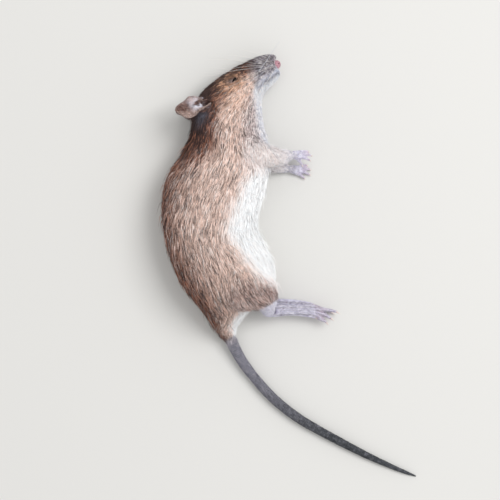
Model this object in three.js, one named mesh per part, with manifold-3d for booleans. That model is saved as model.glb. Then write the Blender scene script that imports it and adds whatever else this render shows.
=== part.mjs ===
// A field mouse at life size, lying on its left side with its back arched.
// Millimetres, +Z up. The nose points to +X and +Y, the back faces -X, the belly faces +X,
// the right flank is on top and the left flank lies on the floor at z = 0.

import * as THREE from 'three';
import { mergeVertices } from 'three/addons/utils/BufferGeometryUtils.js';
import Module from 'manifold-3d';

const wasm = await Module();
wasm.setup();

// Driving dimensions.
const CUT = 0.3; // open width of the thin cut between two parts
const BODY_SIDES = 22; // faces around the head, neck and trunk
const RINGS_PER_STATION = 2; // rings of faces between two stations of the body
const BODY_FULLNESS = 0.92; // 1 is an ellipse, less is squarer
const NECK_FROM = 7.25; // station where the head ends
const NECK_TO = 9.1; // station where the trunk begins

// The body from the muzzle to the root of the tail. Each station has a point on the line of the
// back, a point on the line of the throat and belly, half the width from flank to flank, the
// height of its middle, and how far the width leans to the belly side.
const BODY = [
  { back: [-2.0, 62.4], belly: [-1.6, 59.0], half: 1.2, middle: 4.9, lean: 0.0 }, // muzzle end
  { back: [-2.9, 63.4], belly: [-1.6, 57.0], half: 2.0, middle: 5.0, lean: 0.1 }, // upper lip
  { back: [-5.1, 63.6], belly: [-3.3, 54.6], half: 3.4, middle: 5.1, lean: 0.15 }, // whisker pads
  { back: [-9.0, 62.7], belly: [-6.0, 52.2], half: 4.2, middle: 5.2, lean: 0.1 }, // snout
  { back: [-12.9, 60.8], belly: [-7.1, 49.8], half: 5.0, middle: 5.5, lean: 0.1 }, // before the eyes
  { back: [-17.1, 58.3], belly: [-7.2, 46.8], half: 6.0, middle: 5.8, lean: 0.12 }, // eyes, cheeks
  { back: [-21.9, 55.0], belly: [-6.8, 43.5], half: 6.8, middle: 6.2, lean: 0.1 }, // crown
  { back: [-26.1, 51.0], belly: [-6.2, 40.2], half: 7.3, middle: 6.6, lean: 0.05 }, // ears
  { back: [-28.4, 45.3], belly: [-5.4, 36.9], half: 7.8, middle: 7.0, lean: 0.0 }, // neck
  { back: [-28.8, 39.6], belly: [-4.8, 33.6], half: 8.5, middle: 7.6, lean: 0.0 }, // throat
  { back: [-31.2, 33.6], belly: [-4.7, 29.4], half: 9.3, middle: 8.3, lean: 0.0 }, // shoulders
  { back: [-35.7, 26.4], belly: [-5.7, 23.7], half: 9.9, middle: 8.9, lean: 0.05 }, // chest
  { back: [-37.2, 17.7], belly: [-7.7, 16.8], half: 10.2, middle: 9.2, lean: 0.1 }, // ribs
  { back: [-36.6, 8.7], belly: [-8.6, 10.5], half: 10.5, middle: 9.4, lean: 0.1 }, // waist
  { back: [-34.5, 0.6], belly: [-5.0, 3.6], half: 10.7, middle: 9.5, lean: 0.1 }, // belly
  { back: [-30.9, -7.2], belly: [-3.0, -4.2], half: 10.3, middle: 9.1, lean: 0.05 }, // hips
  { back: [-26.4, -12.6], belly: [-7.2, -10.2], half: 8.9, middle: 7.9, lean: 0.0 }, // buttocks
  { back: [-23.1, -17.1], belly: [-12.0, -15.0], half: 6.3, middle: 6.0, lean: 0.0 }, // rump
  { back: [-20.9, -20.1], belly: [-14.9, -18.5], half: 3.5, middle: 4.2, lean: 0.0 }, // tail root
  { back: [-18.9, -22.9], belly: [-15.3, -21.3], half: 2.1, middle: 3.2, lean: 0.0 },
];

// The tail: place on the floor plan, height of the middle, and radius.
const TAIL = [
  { at: [-16.9, -22.6], height: 3.1, radius: 1.88 },
  { at: [-15.4, -25.8], height: 2.5, radius: 1.8 },
  { at: [-13.3, -29.6], height: 2.0, radius: 1.7 },
  { at: [-9.9, -34.2], height: 1.7, radius: 1.62 },
  { at: [-4.0, -40.8], height: 1.55, radius: 1.6 },
  { at: [3.4, -46.8], height: 1.45, radius: 1.52 },
  { at: [11.4, -51.5], height: 1.35, radius: 1.42 },
  { at: [18.7, -55.4], height: 1.22, radius: 1.28 },
  { at: [25.2, -58.7], height: 1.05, radius: 1.1 },
  { at: [31.5, -61.6], height: 0.82, radius: 0.87 },
  { at: [37.0, -63.9], height: 0.58, radius: 0.62 },
  { at: [40.2, -65.1], height: 0.3, radius: 0.33 },
];
const TAIL_SIDES = 10;
const TAIL_LENGTHS = { tail_base: [0, 3], tail_middle: [3, 6], tail_tip: [6, TAIL.length - 1] };
const TAIL_RINGS_PER_STATION = 3;
const TAIL_SPACING = 6; // least distance between two stations where the tail is parted

// A limb is a row of places with a radius in the plane of the floor and one across it.
const HIND_LEG = {
  right: [
    { at: [-18.9, -7.4, 14.4], wide: 5.0, high: 3.3 },
    { at: [-14.4, -6.8, 16.0], wide: 7.2, high: 4.5 },
    { at: [-9.6, -7.6, 15.0], wide: 6.6, high: 4.3 },
    { at: [-6.5, -10.2, 11.8], wide: 4.4, high: 3.7 },
    { at: [-5.5, -12.9, 8.8], wide: 2.6, high: 2.6 },
    { at: [-5.4, -14.7, 7.0], wide: 1.9, high: 2.0 },
  ],
  left: [
    { at: [-18.0, -7.2, 3.8], wide: 4.6, high: 2.9 },
    { at: [-13.8, -6.6, 3.9], wide: 6.4, high: 3.7 },
    { at: [-9.6, -7.2, 3.7], wide: 5.8, high: 3.6 },
    { at: [-6.9, -9.3, 3.0], wide: 3.9, high: 3.0 },
    { at: [-6.2, -11.4, 2.1], wide: 2.4, high: 2.1 },
    { at: [-6.2, -12.9, 1.6], wide: 1.8, high: 1.6 },
  ],
};
const FORELEG = {
  right: [
    { at: [-14.4, 33.6, 13.2], wide: 4.6, high: 3.7 },
    { at: [-9.6, 33.0, 12.8], wide: 4.5, high: 3.5 },
    { at: [-5.7, 32.3, 11.2], wide: 3.5, high: 3.0 },
    { at: [-2.4, 32.1, 9.4], wide: 2.6, high: 2.4 },
    { at: [-0.3, 32.4, 8.0], wide: 1.9, high: 1.8 },
    { at: [1.5, 32.8, 7.0], wide: 1.4, high: 1.4 },
  ],
  left: [
    { at: [-13.8, 31.8, 4.6], wide: 4.0, high: 3.6 },
    { at: [-9.0, 31.2, 4.2], wide: 3.5, high: 3.2 },
    { at: [-4.8, 30.5, 3.2], wide: 2.5, high: 2.5 },
    { at: [-1.5, 29.6, 2.0], wide: 1.7, high: 1.7 },
    { at: [0.9, 29.1, 1.4], wide: 1.3, high: 1.3 },
  ],
};
const LEG_SIDES = 14;
const LEG_RINGS_PER_STATION = 2;

// A foot is its sole, from the heel to the ball, and its toes from the ball to the claws.
const HIND_FOOT = {
  right: {
    sole: [
      { at: [-6.5, -14.6, 6.3], wide: 1.2, high: 1.1 },
      { at: [-5.6, -14.5, 6.2], wide: 1.7, high: 1.5 },
      { at: [-3.0, -14.3, 5.8], wide: 1.75, high: 1.4 },
      { at: [1.2, -14.1, 5.1], wide: 1.6, high: 1.25 },
      { at: [5.4, -14.3, 4.5], wide: 1.75, high: 1.15 },
      { at: [8.4, -14.6, 4.2], wide: 1.9, high: 1.0 },
      { at: [9.3, -14.7, 4.1], wide: 1.5, high: 0.7 },
    ],
    toes: [
      [[5.7, -13.2, 4.0], [8.7, -13.0, 3.5], [11.1, -13.7, 3.2]],
      [[8.1, -13.6, 4.3], [12.0, -13.9, 4.1], [15.0, -14.4, 3.7], [16.6, -15.2, 3.2]],
      [[8.3, -14.4, 4.2], [11.4, -15.3, 4.0], [13.4, -16.3, 3.6], [14.8, -17.3, 3.1]],
      [[8.0, -15.0, 4.1], [10.5, -16.3, 3.9], [12.1, -17.5, 3.5], [13.1, -18.6, 3.0]],
      [[5.6, -15.3, 4.2], [8.4, -16.1, 3.8], [11.0, -17.0, 3.3]],
    ],
  },
  left: {
    sole: [
      { at: [-7.6, -13.1, 1.5], wide: 1.2, high: 1.1 },
      { at: [-6.6, -12.9, 1.4], wide: 1.6, high: 1.4 },
      { at: [-3.6, -12.3, 1.3], wide: 1.7, high: 1.3 },
      { at: [0.6, -12.2, 1.2], wide: 1.55, high: 1.2 },
      { at: [4.8, -12.8, 1.1], wide: 1.7, high: 1.1 },
      { at: [7.8, -13.6, 1.0], wide: 1.8, high: 1.0 },
      { at: [8.7, -13.9, 0.9], wide: 1.4, high: 0.8 },
    ],
    toes: [
      [[4.9, -12.0, 0.8], [7.8, -12.3, 0.7], [10.2, -13.2, 0.55]],
      [[7.5, -12.8, 0.9], [11.1, -13.7, 0.8], [13.6, -14.5, 0.7], [15.3, -15.5, 0.5]],
      [[7.6, -13.6, 0.9], [10.8, -14.8, 0.8], [12.9, -15.8, 0.7], [14.2, -16.8, 0.5]],
      [[7.4, -14.3, 0.9], [9.9, -15.6, 0.8], [11.6, -16.8, 0.7], [12.6, -17.9, 0.5]],
      [[4.9, -14.2, 0.8], [7.4, -15.2, 0.7], [9.4, -16.4, 0.55]],
    ],
  },
};
const FOREFOOT = {
  right: {
    sole: [
      { at: [1.95, 32.9, 6.8], wide: 1.25, high: 1.1 },
      { at: [3.0, 32.9, 6.5], wide: 1.45, high: 1.05 },
      { at: [4.2, 32.6, 6.1], wide: 1.6, high: 0.9 },
      { at: [4.9, 32.4, 5.9], wide: 1.2, high: 0.6 },
    ],
    toes: [
      [[3.6, 33.6, 6.1], [5.1, 34.0, 5.8], [6.6, 34.0, 5.2], [7.3, 33.8, 4.7]],
      [[4.1, 33.0, 6.0], [5.8, 33.1, 5.7], [7.5, 32.9, 5.0], [8.2, 32.6, 4.4]],
      [[4.1, 32.3, 5.9], [5.7, 32.0, 5.5], [7.1, 31.5, 4.8], [7.7, 31.1, 4.2]],
      [[3.4, 31.7, 5.9], [4.3, 30.9, 5.4], [5.0, 30.0, 4.8], [5.2, 29.4, 4.4]],
    ],
  },
  left: {
    sole: [
      { at: [1.4, 29.0, 1.35], wide: 1.2, high: 1.1 },
      { at: [2.5, 28.8, 1.25], wide: 1.4, high: 1.05 },
      { at: [3.9, 28.5, 1.1], wide: 1.55, high: 0.9 },
      { at: [4.6, 28.4, 1.0], wide: 1.2, high: 0.7 },
    ],
    toes: [
      [[3.4, 29.3, 0.95], [5.0, 29.9, 0.85], [6.4, 30.1, 0.7], [7.0, 30.0, 0.5]],
      [[3.9, 28.9, 0.9], [5.7, 29.1, 0.85], [7.3, 28.9, 0.7], [8.0, 28.6, 0.5]],
      [[3.9, 28.2, 0.9], [5.7, 28.0, 0.85], [7.2, 27.4, 0.7], [7.9, 27.0, 0.5]],
      [[3.3, 27.7, 0.9], [4.6, 27.1, 0.85], [5.7, 26.3, 0.7], [6.1, 25.8, 0.5]],
    ],
  },
};
const SOLE_SIDES = 10;
const SOLE_RINGS_PER_STATION = 1.5;
const TOE_RADII = { hind: [0.75, 0.62, 0.5, 0.3], fore: [0.6, 0.52, 0.42, 0.28] }; // ball to claw
const TOE_SIDES = 6;
const TOE_RINGS = 4;

// Each ear is a cupped petal: its root, the way it grows, the way it opens, and its size.
const EAR = {
  right: { root: [-22.9, 47.3, 11.6], grows: [-0.9, -0.3, 0.28], opens: [-0.15, 0.8, 0.58] },
  left: { root: [-23.0, 48.0, 2.3], grows: [-0.93, -0.36, -0.06], opens: [0.0, 0.3, -0.95] },
};
const EAR_SIZE = {
  right: { long: 10.6, wide: 8.0, cup: 2.0, thick: 0.75 },
  left: { long: 8.6, wide: 4.8, cup: 0.5, thick: 0.75 },
};
const EAR_ROOT_SHARE = 0.5; // breadth at the root, as a share of the full breadth
const EAR_SWELL = { share: 0.55, turn: 2.1 }; // a stretch of a sine that widens the petal
const EAR_ROUNDING = { tip: 5, rim: 4 }; // higher powers keep the tip and rim fuller
const EAR_END = 0.03; // keeps a little breadth at the tip and a little thickness at the rim
const EAR_FLATTENING = 0.4; // share of the cup that is lost towards the tip
const EAR_ROWS = 9;
const EAR_COLUMNS = 8;

// The eyes are nearly shut, so that only a narrow part of each ball stands between the lids.
const EYE_STATION = 5.17;
const EYE_ANGLE = 0.955; // from the line of the back, to either flank
const EYE_SINK = 0.55; // depth of its centre under the coat
const EYE_REACH = [1.35, 0.85, 0.95]; // along the slit, across it, and in depth
const EYE_TILT = 0.84; // of the slit, in the plane of the floor
const EYE_LEAN = 0.55; // of the ball, from the flank towards the back
const BALL_FACES = [12, 8]; // around and over an eyeball or the nose
const NOSE_AT = [-2.3, 60.6, 4.95];
const NOSE_REACH = [1.7, 1.35, 1.75];

// Finishes.
const finish = (color, roughness) => new THREE.MeshStandardMaterial({ color, roughness, metalness: 0 });
const FINISHES = {
  coat: () => finish(0xb08a76, 0.9),
  foot: () => finish(0xc6c0d0, 0.8),
  tail: () => finish(0x8d8892, 0.8),
  nose: () => finish(0xc48f9b, 0.45),
  eye: () => finish(0x0c0a0a, 0.1),
};

// Shapes.
const vector = (list) => new THREE.Vector3(...list);

// A point never lies under the floor: what presses on it is flat. The grown shapes that only
// cut others go on below it.
function onFloor(point, growth = 0) {
  if (growth === 0) point.z = Math.max(point.z, 0);
  return point;
}

function signedVolume(points, faces) {
  let volume = 0;
  for (let i = 0; i < faces.length; i += 3) {
    const [a, b, c] = [points[faces[i]], points[faces[i + 1]], points[faces[i + 2]]];
    volume += a.dot(new THREE.Vector3().crossVectors(b, c)) / 6;
  }
  return volume;
}

// A closed mesh over a row of rings, with a fan of faces over each end, facing out.
function loft(rings) {
  const sides = rings[0].length;
  const points = rings.flat();
  const faces = [];
  for (let row = 0; row + 1 < rings.length; row++) {
    for (let side = 0; side < sides; side++) {
      const next = (side + 1) % sides;
      const [a, b] = [row * sides + side, row * sides + next];
      const [c, d] = [a + sides, b + sides];
      faces.push(a, b, d, a, d, c);
    }
  }
  for (const [row, turned] of [[0, true], [rings.length - 1, false]]) {
    const middle = new THREE.Vector3();
    for (const point of rings[row]) middle.addScaledVector(point, 1 / sides);
    points.push(middle);
    for (let side = 0; side < sides; side++) {
      const [a, b] = [row * sides + side, row * sides + ((side + 1) % sides)];
      faces.push(points.length - 1, ...(turned ? [b, a] : [a, b]));
    }
  }
  if (signedVolume(points, faces) < 0) faces.reverse();
  const geometry = new THREE.BufferGeometry().setFromPoints(points);
  geometry.setIndex(faces);
  return geometry;
}

function toSolid(geometry) {
  const bare = geometry.clone();
  bare.deleteAttribute('normal');
  bare.deleteAttribute('uv');
  const merged = mergeVertices(bare, 1e-4);
  return new wasm.Manifold(new wasm.Mesh({
    numProp: 3,
    vertProperties: new Float32Array(merged.attributes.position.array),
    triVerts: new Uint32Array(merged.index.array),
  }));
}

function toGeometry(solid) {
  const mesh = solid.getMesh();
  const geometry = new THREE.BufferGeometry();
  geometry.setAttribute('position', new THREE.BufferAttribute(new Float32Array(mesh.vertProperties), 3));
  geometry.setIndex(new THREE.BufferAttribute(new Uint32Array(mesh.triVerts), 1));
  return geometry;
}

// The body as lines through its stations.
const lineOf = (points) => new THREE.CatmullRomCurve3(points);
const LAST_STATION = BODY.length - 1;
const backLine = lineOf(BODY.map(({ back }) => vector([...back, 0])));
const bellyLine = lineOf(BODY.map(({ belly }) => vector([...belly, 0])));
const formLine = lineOf(BODY.map(({ half, middle, lean }) => vector([half, middle, lean])));

// A circle's cosine or sine, pushed out towards a square.
const fuller = (value) => Math.sign(value) * Math.abs(value) ** BODY_FULLNESS;

// A point of the coat: angle 0 is the line of the back, a quarter turn is the right flank, and
// half a turn is the line of the belly.
function bodyPoint(station, angle, growth = 0) {
  const back = backLine.getPoint(station / LAST_STATION);
  const belly = bellyLine.getPoint(station / LAST_STATION);
  const [half, height, lean] = formLine.getPoint(station / LAST_STATION).toArray();
  const toBelly = belly.clone().sub(back).multiplyScalar(0.5);
  const across = -fuller(Math.cos(angle));
  const upward = fuller(Math.sin(angle)) * (1 + lean * across);
  const point = back.add(belly).multiplyScalar(0.5);
  point.addScaledVector(toBelly, across * (1 + growth / toBelly.length()));
  point.z = height + upward * (half + growth);
  return point;
}

function bodyLength(from, to, growth = 0) {
  const count = Math.ceil((to - from) * RINGS_PER_STATION);
  const rings = [];
  for (let i = 0; i <= count; i++) {
    const station = from + ((to - from) * i) / count;
    const ring = [];
    for (let side = 0; side < BODY_SIDES; side++) {
      ring.push(onFloor(bodyPoint(station, ((side + 0.5) / BODY_SIDES) * 2 * Math.PI, growth), growth));
    }
    rings.push(ring);
  }
  return loft(rings);
}

// Half the thin cut as a share of a station, on the side where the stations lie closest.
function halfCut(station) {
  const spans = [backLine, bellyLine].map((line) => {
    const before = line.getPoint((station - 0.5) / LAST_STATION);
    return before.distanceTo(line.getPoint((station + 0.5) / LAST_STATION));
  });
  return CUT / 2 / Math.min(...spans);
}

// A limb, toe or tail: rings square to a smooth line, with one radius in the plane of the floor
// and one across it.
function limb(stations, { sides, rings, growth = 0, from = 0, to = stations.length - 1 }) {
  const last = stations.length - 1;
  const line = lineOf(stations.map(({ at }) => vector(at)));
  const radii = lineOf(stations.map(({ wide, high }) => vector([wide, high, 0])));
  const count = Math.ceil((to - from) * rings);
  const rows = [];
  for (let i = 0; i <= count; i++) {
    const place = (from + ((to - from) * i) / count) / last;
    const onward = line.getTangent(place);
    const sideways = new THREE.Vector3(onward.y, -onward.x, 0).normalize();
    const upward = new THREE.Vector3().crossVectors(sideways, onward);
    const { x: wide, y: high } = radii.getPoint(place);
    const lengthening = growth * ((i === count) - (i === 0));
    const ring = [];
    for (let side = 0; side < sides; side++) {
      const angle = ((side + 0.5) / sides) * 2 * Math.PI;
      const point = line.getPoint(place).addScaledVector(onward, lengthening);
      point.addScaledVector(sideways, Math.cos(angle) * (wide + growth));
      point.addScaledVector(upward, Math.sin(angle) * (high + growth));
      ring.push(onFloor(point, growth));
    }
    rows.push(ring);
  }
  return loft(rows);
}

const leg = (stations, growth = 0) => (
  limb(stations, { sides: LEG_SIDES, rings: LEG_RINGS_PER_STATION, growth })
);

// A sole with its toes, joined into one solid.
function foot({ sole, toes }, radii) {
  let solid = toSolid(limb(sole, { sides: SOLE_SIDES, rings: SOLE_RINGS_PER_STATION }));
  for (const toe of toes) {
    const bones = toe.map((at, i) => {
      const radius = radii[i + radii.length - toe.length];
      return { at, wide: radius, high: radius };
    });
    const rings = TOE_RINGS / (toe.length - 1);
    solid = solid.add(toSolid(limb(bones, { sides: TOE_SIDES, rings })));
  }
  return solid;
}

// A petal that grows from its root, widens, ends round, and cups towards the side it opens to.
function ear({ root, grows, opens }, { long, wide, cup, thick }) {
  const along = vector(grows).normalize();
  const across = new THREE.Vector3().crossVectors(along, vector(opens)).normalize();
  const open = new THREE.Vector3().crossVectors(across, along).normalize();
  const rings = [];
  for (let row = 0; row <= EAR_ROWS; row++) {
    const far = row / EAR_ROWS;
    const swollen = EAR_ROOT_SHARE + EAR_SWELL.share * Math.sin(far * EAR_SWELL.turn);
    const breadth = (wide / 2) * swollen * Math.sqrt(1 + EAR_END - far ** EAR_ROUNDING.tip);
    const ring = [];
    for (const side of [1, -1]) {
      for (let column = 0; column <= EAR_COLUMNS; column++) {
        const over = side * (1 - (2 * column) / EAR_COLUMNS);
        const depth = (side * thick * Math.sqrt(1 + EAR_END - over ** EAR_ROUNDING.rim)) / 2;
        const point = vector(root).addScaledVector(along, long * far);
        point.addScaledVector(across, breadth * over);
        point.addScaledVector(open, cup * over ** 2 * (1 - EAR_FLATTENING * far) + depth);
        ring.push(onFloor(point));
      }
    }
    rings.push(ring);
  }
  return loft(rings);
}

// An eyeball behind nearly shut lids, on the right flank (+1) or the left (-1).
function eye(flank, growth = 0) {
  const place = bodyPoint(EYE_STATION, flank * EYE_ANGLE, -EYE_SINK);
  const [long, narrow, deep] = EYE_REACH.map((reach) => reach + growth);
  const ball = new THREE.SphereGeometry(1, ...BALL_FACES);
  ball.scale(long, narrow, deep).rotateX(-flank * EYE_LEAN).rotateZ(EYE_TILT);
  return ball.translate(place.x, place.y, place.z);
}

function nosePad(growth = 0) {
  const pad = new THREE.SphereGeometry(1, ...BALL_FACES);
  return pad.scale(...NOSE_REACH.map((reach) => reach + growth)).translate(...NOSE_AT);
}

// The whole mouse.
const FLANKS = { right: 1, left: -1 };
const mouse = new THREE.Group();

function addPart(name, geometry, material) {
  const mesh = new THREE.Mesh(geometry, material);
  mesh.name = name;
  mouse.add(mesh);
}

const grownLimbs = Object.keys(FLANKS).flatMap((side) => [
  toSolid(leg(HIND_LEG[side], CUT)),
  toSolid(leg(FORELEG[side], CUT)),
]);
const grownEyes = Object.values(FLANKS).map((flank) => toSolid(eye(flank, CUT)));

const headEnd = NECK_FROM - halfCut(NECK_FROM);
const neckStart = NECK_FROM + halfCut(NECK_FROM);
const neckEnd = NECK_TO - halfCut(NECK_TO);
const trunkStart = NECK_TO + halfCut(NECK_TO);

let head = toSolid(bodyLength(0, headEnd)).subtract(toSolid(nosePad(CUT)));
for (const socket of grownEyes) head = head.subtract(socket);
let neck = toSolid(bodyLength(neckStart, neckEnd));
let trunk = toSolid(bodyLength(trunkStart, LAST_STATION));
for (const limbSpace of grownLimbs) {
  neck = neck.subtract(limbSpace);
  trunk = trunk.subtract(limbSpace);
}
addPart('head', toGeometry(head), FINISHES.coat());
addPart('neck', toGeometry(neck), FINISHES.coat());
addPart('trunk', toGeometry(trunk), FINISHES.coat());
addPart('nose', nosePad(), FINISHES.nose());

const tailStations = TAIL.map(({ at, height, radius }) => (
  { at: [...at, height], wide: radius, high: radius }
));
for (const [name, [from, to]] of Object.entries(TAIL_LENGTHS)) {
  const start = from === 0 ? 0 : from + CUT / TAIL_SPACING;
  const length = limb(tailStations, { sides: TAIL_SIDES, rings: TAIL_RINGS_PER_STATION, from: start, to });
  addPart(name, length, FINISHES.tail());
}

const grownHead = toSolid(bodyLength(0, NECK_TO, CUT));
for (const [side, flank] of Object.entries(FLANKS)) {
  const petal = toSolid(ear(EAR[side], EAR_SIZE[side])).subtract(grownHead);
  addPart(`ear_${side}`, toGeometry(petal), FINISHES.coat());
  addPart(`eye_${side}`, eye(flank), FINISHES.eye());
  addPart(`foreleg_${side}`, leg(FORELEG[side]), FINISHES.coat());
  addPart(`forefoot_${side}`, toGeometry(foot(FOREFOOT[side], TOE_RADII.fore)), FINISHES.foot());
  addPart(`hindleg_${side}`, leg(HIND_LEG[side]), FINISHES.coat());
  const ankleSpace = toSolid(leg(HIND_LEG[side], CUT));
  const hindFoot = foot(HIND_FOOT[side], TOE_RADII.hind).subtract(ankleSpace);
  addPart(`hindfoot_${side}`, toGeometry(hindFoot), FINISHES.foot());
}

// The origin lies on the floor, under the middle of the whole mouse.
const box = new THREE.Box3().setFromObject(mouse);
const middle = box.getCenter(new THREE.Vector3());
mouse.position.set(-middle.x, -middle.y, -box.min.z);

export default mouse;
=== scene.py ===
import math

import bmesh
import bpy
import numpy as np
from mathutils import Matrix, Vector
from mathutils.bvhtree import BVHTree
from mathutils.kdtree import KDTree


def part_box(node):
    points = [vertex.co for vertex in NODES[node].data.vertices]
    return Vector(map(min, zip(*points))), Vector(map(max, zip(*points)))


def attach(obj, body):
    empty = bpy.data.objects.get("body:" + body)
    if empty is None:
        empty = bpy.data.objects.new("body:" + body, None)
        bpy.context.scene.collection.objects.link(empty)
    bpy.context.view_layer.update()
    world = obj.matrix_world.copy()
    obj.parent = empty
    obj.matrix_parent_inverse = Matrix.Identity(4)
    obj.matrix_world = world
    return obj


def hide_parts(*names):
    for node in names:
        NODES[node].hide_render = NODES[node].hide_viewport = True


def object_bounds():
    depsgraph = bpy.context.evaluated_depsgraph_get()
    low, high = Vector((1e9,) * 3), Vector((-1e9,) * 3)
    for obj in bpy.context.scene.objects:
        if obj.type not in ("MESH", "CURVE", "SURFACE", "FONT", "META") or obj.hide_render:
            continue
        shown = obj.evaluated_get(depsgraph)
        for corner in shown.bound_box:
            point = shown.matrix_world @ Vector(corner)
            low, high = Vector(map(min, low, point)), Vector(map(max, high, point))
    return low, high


# A field mouse at life size, lying on its left side with its back arched. Lengths are in
# millimetres, in the maker's own frame, until to_frame() turns them into the row frame's metres.

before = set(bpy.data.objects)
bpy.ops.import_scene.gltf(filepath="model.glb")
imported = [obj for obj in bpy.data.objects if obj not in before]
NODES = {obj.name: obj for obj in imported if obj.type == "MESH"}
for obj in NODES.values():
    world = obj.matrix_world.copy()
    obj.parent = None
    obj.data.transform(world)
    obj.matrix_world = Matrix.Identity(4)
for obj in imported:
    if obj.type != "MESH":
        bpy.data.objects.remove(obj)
CAD_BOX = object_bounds()
MM = 0.001

# ---------------------------------------------------------------- measures

# The body from the muzzle to the root of the tail: a point on the line of the back, a point on
# the line of the throat and belly, half the width from flank to flank, the height of the middle,
# and how far the width leans to the belly side.
BODY = [
    ((-2.0, 62.4), (-1.6, 59.0), 1.2, 4.9, 0.0),  # muzzle end
    ((-2.9, 63.4), (-1.6, 57.0), 2.0, 5.0, 0.1),
    ((-5.1, 63.6), (-3.3, 54.6), 3.4, 5.1, 0.15),  # whisker pads
    ((-9.0, 62.7), (-6.0, 52.2), 4.2, 5.2, 0.1),
    ((-12.9, 60.8), (-7.1, 49.8), 5.0, 5.5, 0.1),
    ((-17.1, 58.3), (-7.2, 46.8), 6.0, 5.8, 0.12),  # eyes
    ((-21.9, 55.0), (-6.8, 43.5), 6.8, 6.2, 0.1),
    ((-26.1, 51.0), (-6.2, 40.2), 7.3, 6.6, 0.05),  # ears
    ((-28.4, 45.3), (-5.4, 36.9), 7.8, 7.0, 0.0),
    ((-28.8, 39.6), (-4.8, 33.6), 8.5, 7.6, 0.0),
    ((-31.2, 33.6), (-4.7, 29.4), 9.3, 8.3, 0.0),  # shoulders
    ((-35.7, 26.4), (-5.7, 23.7), 9.9, 8.9, 0.05),
    ((-37.2, 17.7), (-7.7, 16.8), 10.2, 9.2, 0.1),
    ((-36.6, 8.7), (-8.6, 10.5), 10.5, 9.4, 0.1),
    ((-34.5, 0.6), (-5.0, 3.6), 10.7, 9.5, 0.1),
    ((-30.9, -7.2), (-3.0, -4.2), 10.3, 9.1, 0.05),  # hips
    ((-26.4, -12.6), (-7.2, -10.2), 8.9, 7.9, 0.0),
    ((-23.1, -17.1), (-12.0, -15.0), 6.3, 6.0, 0.0),
    ((-20.9, -20.1), (-14.9, -18.5), 3.5, 4.2, 0.0),
    ((-18.9, -22.9), (-15.3, -21.3), 2.1, 3.2, 0.0),  # tail root
]
BODY_FULLNESS = 0.92

# Limbs and tail: a row of places, each with its radius in the plane of the floor and across it.
TAIL = [
    ((-16.9, -22.6, 3.1), 1.88, 1.88),
    ((-15.4, -25.8, 2.5), 1.8, 1.8),
    ((-13.3, -29.6, 2.0), 1.7, 1.7),
    ((-9.9, -34.2, 1.7), 1.62, 1.62),
    ((-4.0, -40.8, 1.55), 1.6, 1.6),
    ((3.4, -46.8, 1.45), 1.52, 1.52),
    ((11.4, -51.5, 1.35), 1.42, 1.42),
    ((18.7, -55.4, 1.22), 1.28, 1.28),
    ((25.2, -58.7, 1.05), 1.1, 1.1),
    ((31.5, -61.6, 0.82), 0.87, 0.87),
    ((37.0, -63.9, 0.58), 0.62, 0.62),
    ((40.2, -65.1, 0.3), 0.33, 0.33),
]
HIND_LEG = {
    "right": [
        ((-18.9, -7.4, 14.4), 5.0, 3.3),
        ((-14.4, -6.8, 16.0), 7.2, 4.5),
        ((-9.6, -7.6, 15.0), 6.6, 4.3),
        ((-6.5, -10.2, 11.8), 4.4, 3.7),
        ((-5.5, -12.9, 8.8), 2.6, 2.6),
        ((-5.4, -14.7, 7.0), 1.9, 2.0),
    ],
    "left": [
        ((-18.0, -7.2, 3.8), 4.6, 2.9),
        ((-13.8, -6.6, 3.9), 6.4, 3.7),
        ((-9.6, -7.2, 3.7), 5.8, 3.6),
        ((-6.9, -9.3, 3.0), 3.9, 3.0),
        ((-6.2, -11.4, 2.1), 2.4, 2.1),
        ((-6.2, -12.9, 1.6), 1.8, 1.6),
    ],
}
FORELEG = {
    "right": [
        ((-14.4, 33.6, 13.2), 4.6, 3.7),
        ((-9.6, 33.0, 12.8), 4.5, 3.5),
        ((-5.7, 32.3, 11.2), 3.5, 3.0),
        ((-2.4, 32.1, 9.4), 2.6, 2.4),
        ((-0.3, 32.4, 8.0), 1.9, 1.8),
        ((1.5, 32.8, 7.0), 1.4, 1.4),
    ],
    "left": [
        ((-13.8, 31.8, 4.6), 4.0, 3.6),
        ((-9.0, 31.2, 4.2), 3.5, 3.2),
        ((-4.8, 30.5, 3.2), 2.5, 2.5),
        ((-1.5, 29.6, 2.0), 1.7, 1.7),
        ((0.9, 29.1, 1.4), 1.3, 1.3),
    ],
}
HIND_SOLE = {
    "right": [
        ((-6.5, -14.6, 6.3), 1.2, 1.1),
        ((-5.6, -14.5, 6.2), 1.7, 1.5),
        ((-3.0, -14.3, 5.8), 1.75, 1.4),
        ((1.2, -14.1, 5.1), 1.6, 1.25),
        ((5.4, -14.3, 4.5), 1.75, 1.15),
        ((8.4, -14.6, 4.2), 1.9, 1.0),
    ],
    "left": [
        ((-7.6, -13.1, 1.5), 1.2, 1.1),
        ((-6.6, -12.9, 1.4), 1.6, 1.4),
        ((-3.6, -12.3, 1.3), 1.7, 1.3),
        ((0.6, -12.2, 1.2), 1.55, 1.2),
        ((4.8, -12.8, 1.1), 1.7, 1.1),
        ((7.8, -13.6, 1.0), 1.8, 1.0),
    ],
}
FORE_SOLE = {
    "right": [
        ((1.95, 32.9, 6.8), 1.25, 1.1),
        ((3.0, 32.9, 6.5), 1.45, 1.05),
        ((4.2, 32.6, 6.1), 1.6, 0.9),
    ],
    "left": [
        ((1.4, 29.0, 1.35), 1.2, 1.1),
        ((2.5, 28.8, 1.25), 1.4, 1.05),
        ((3.9, 28.5, 1.1), 1.55, 0.9),
    ],
}
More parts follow.
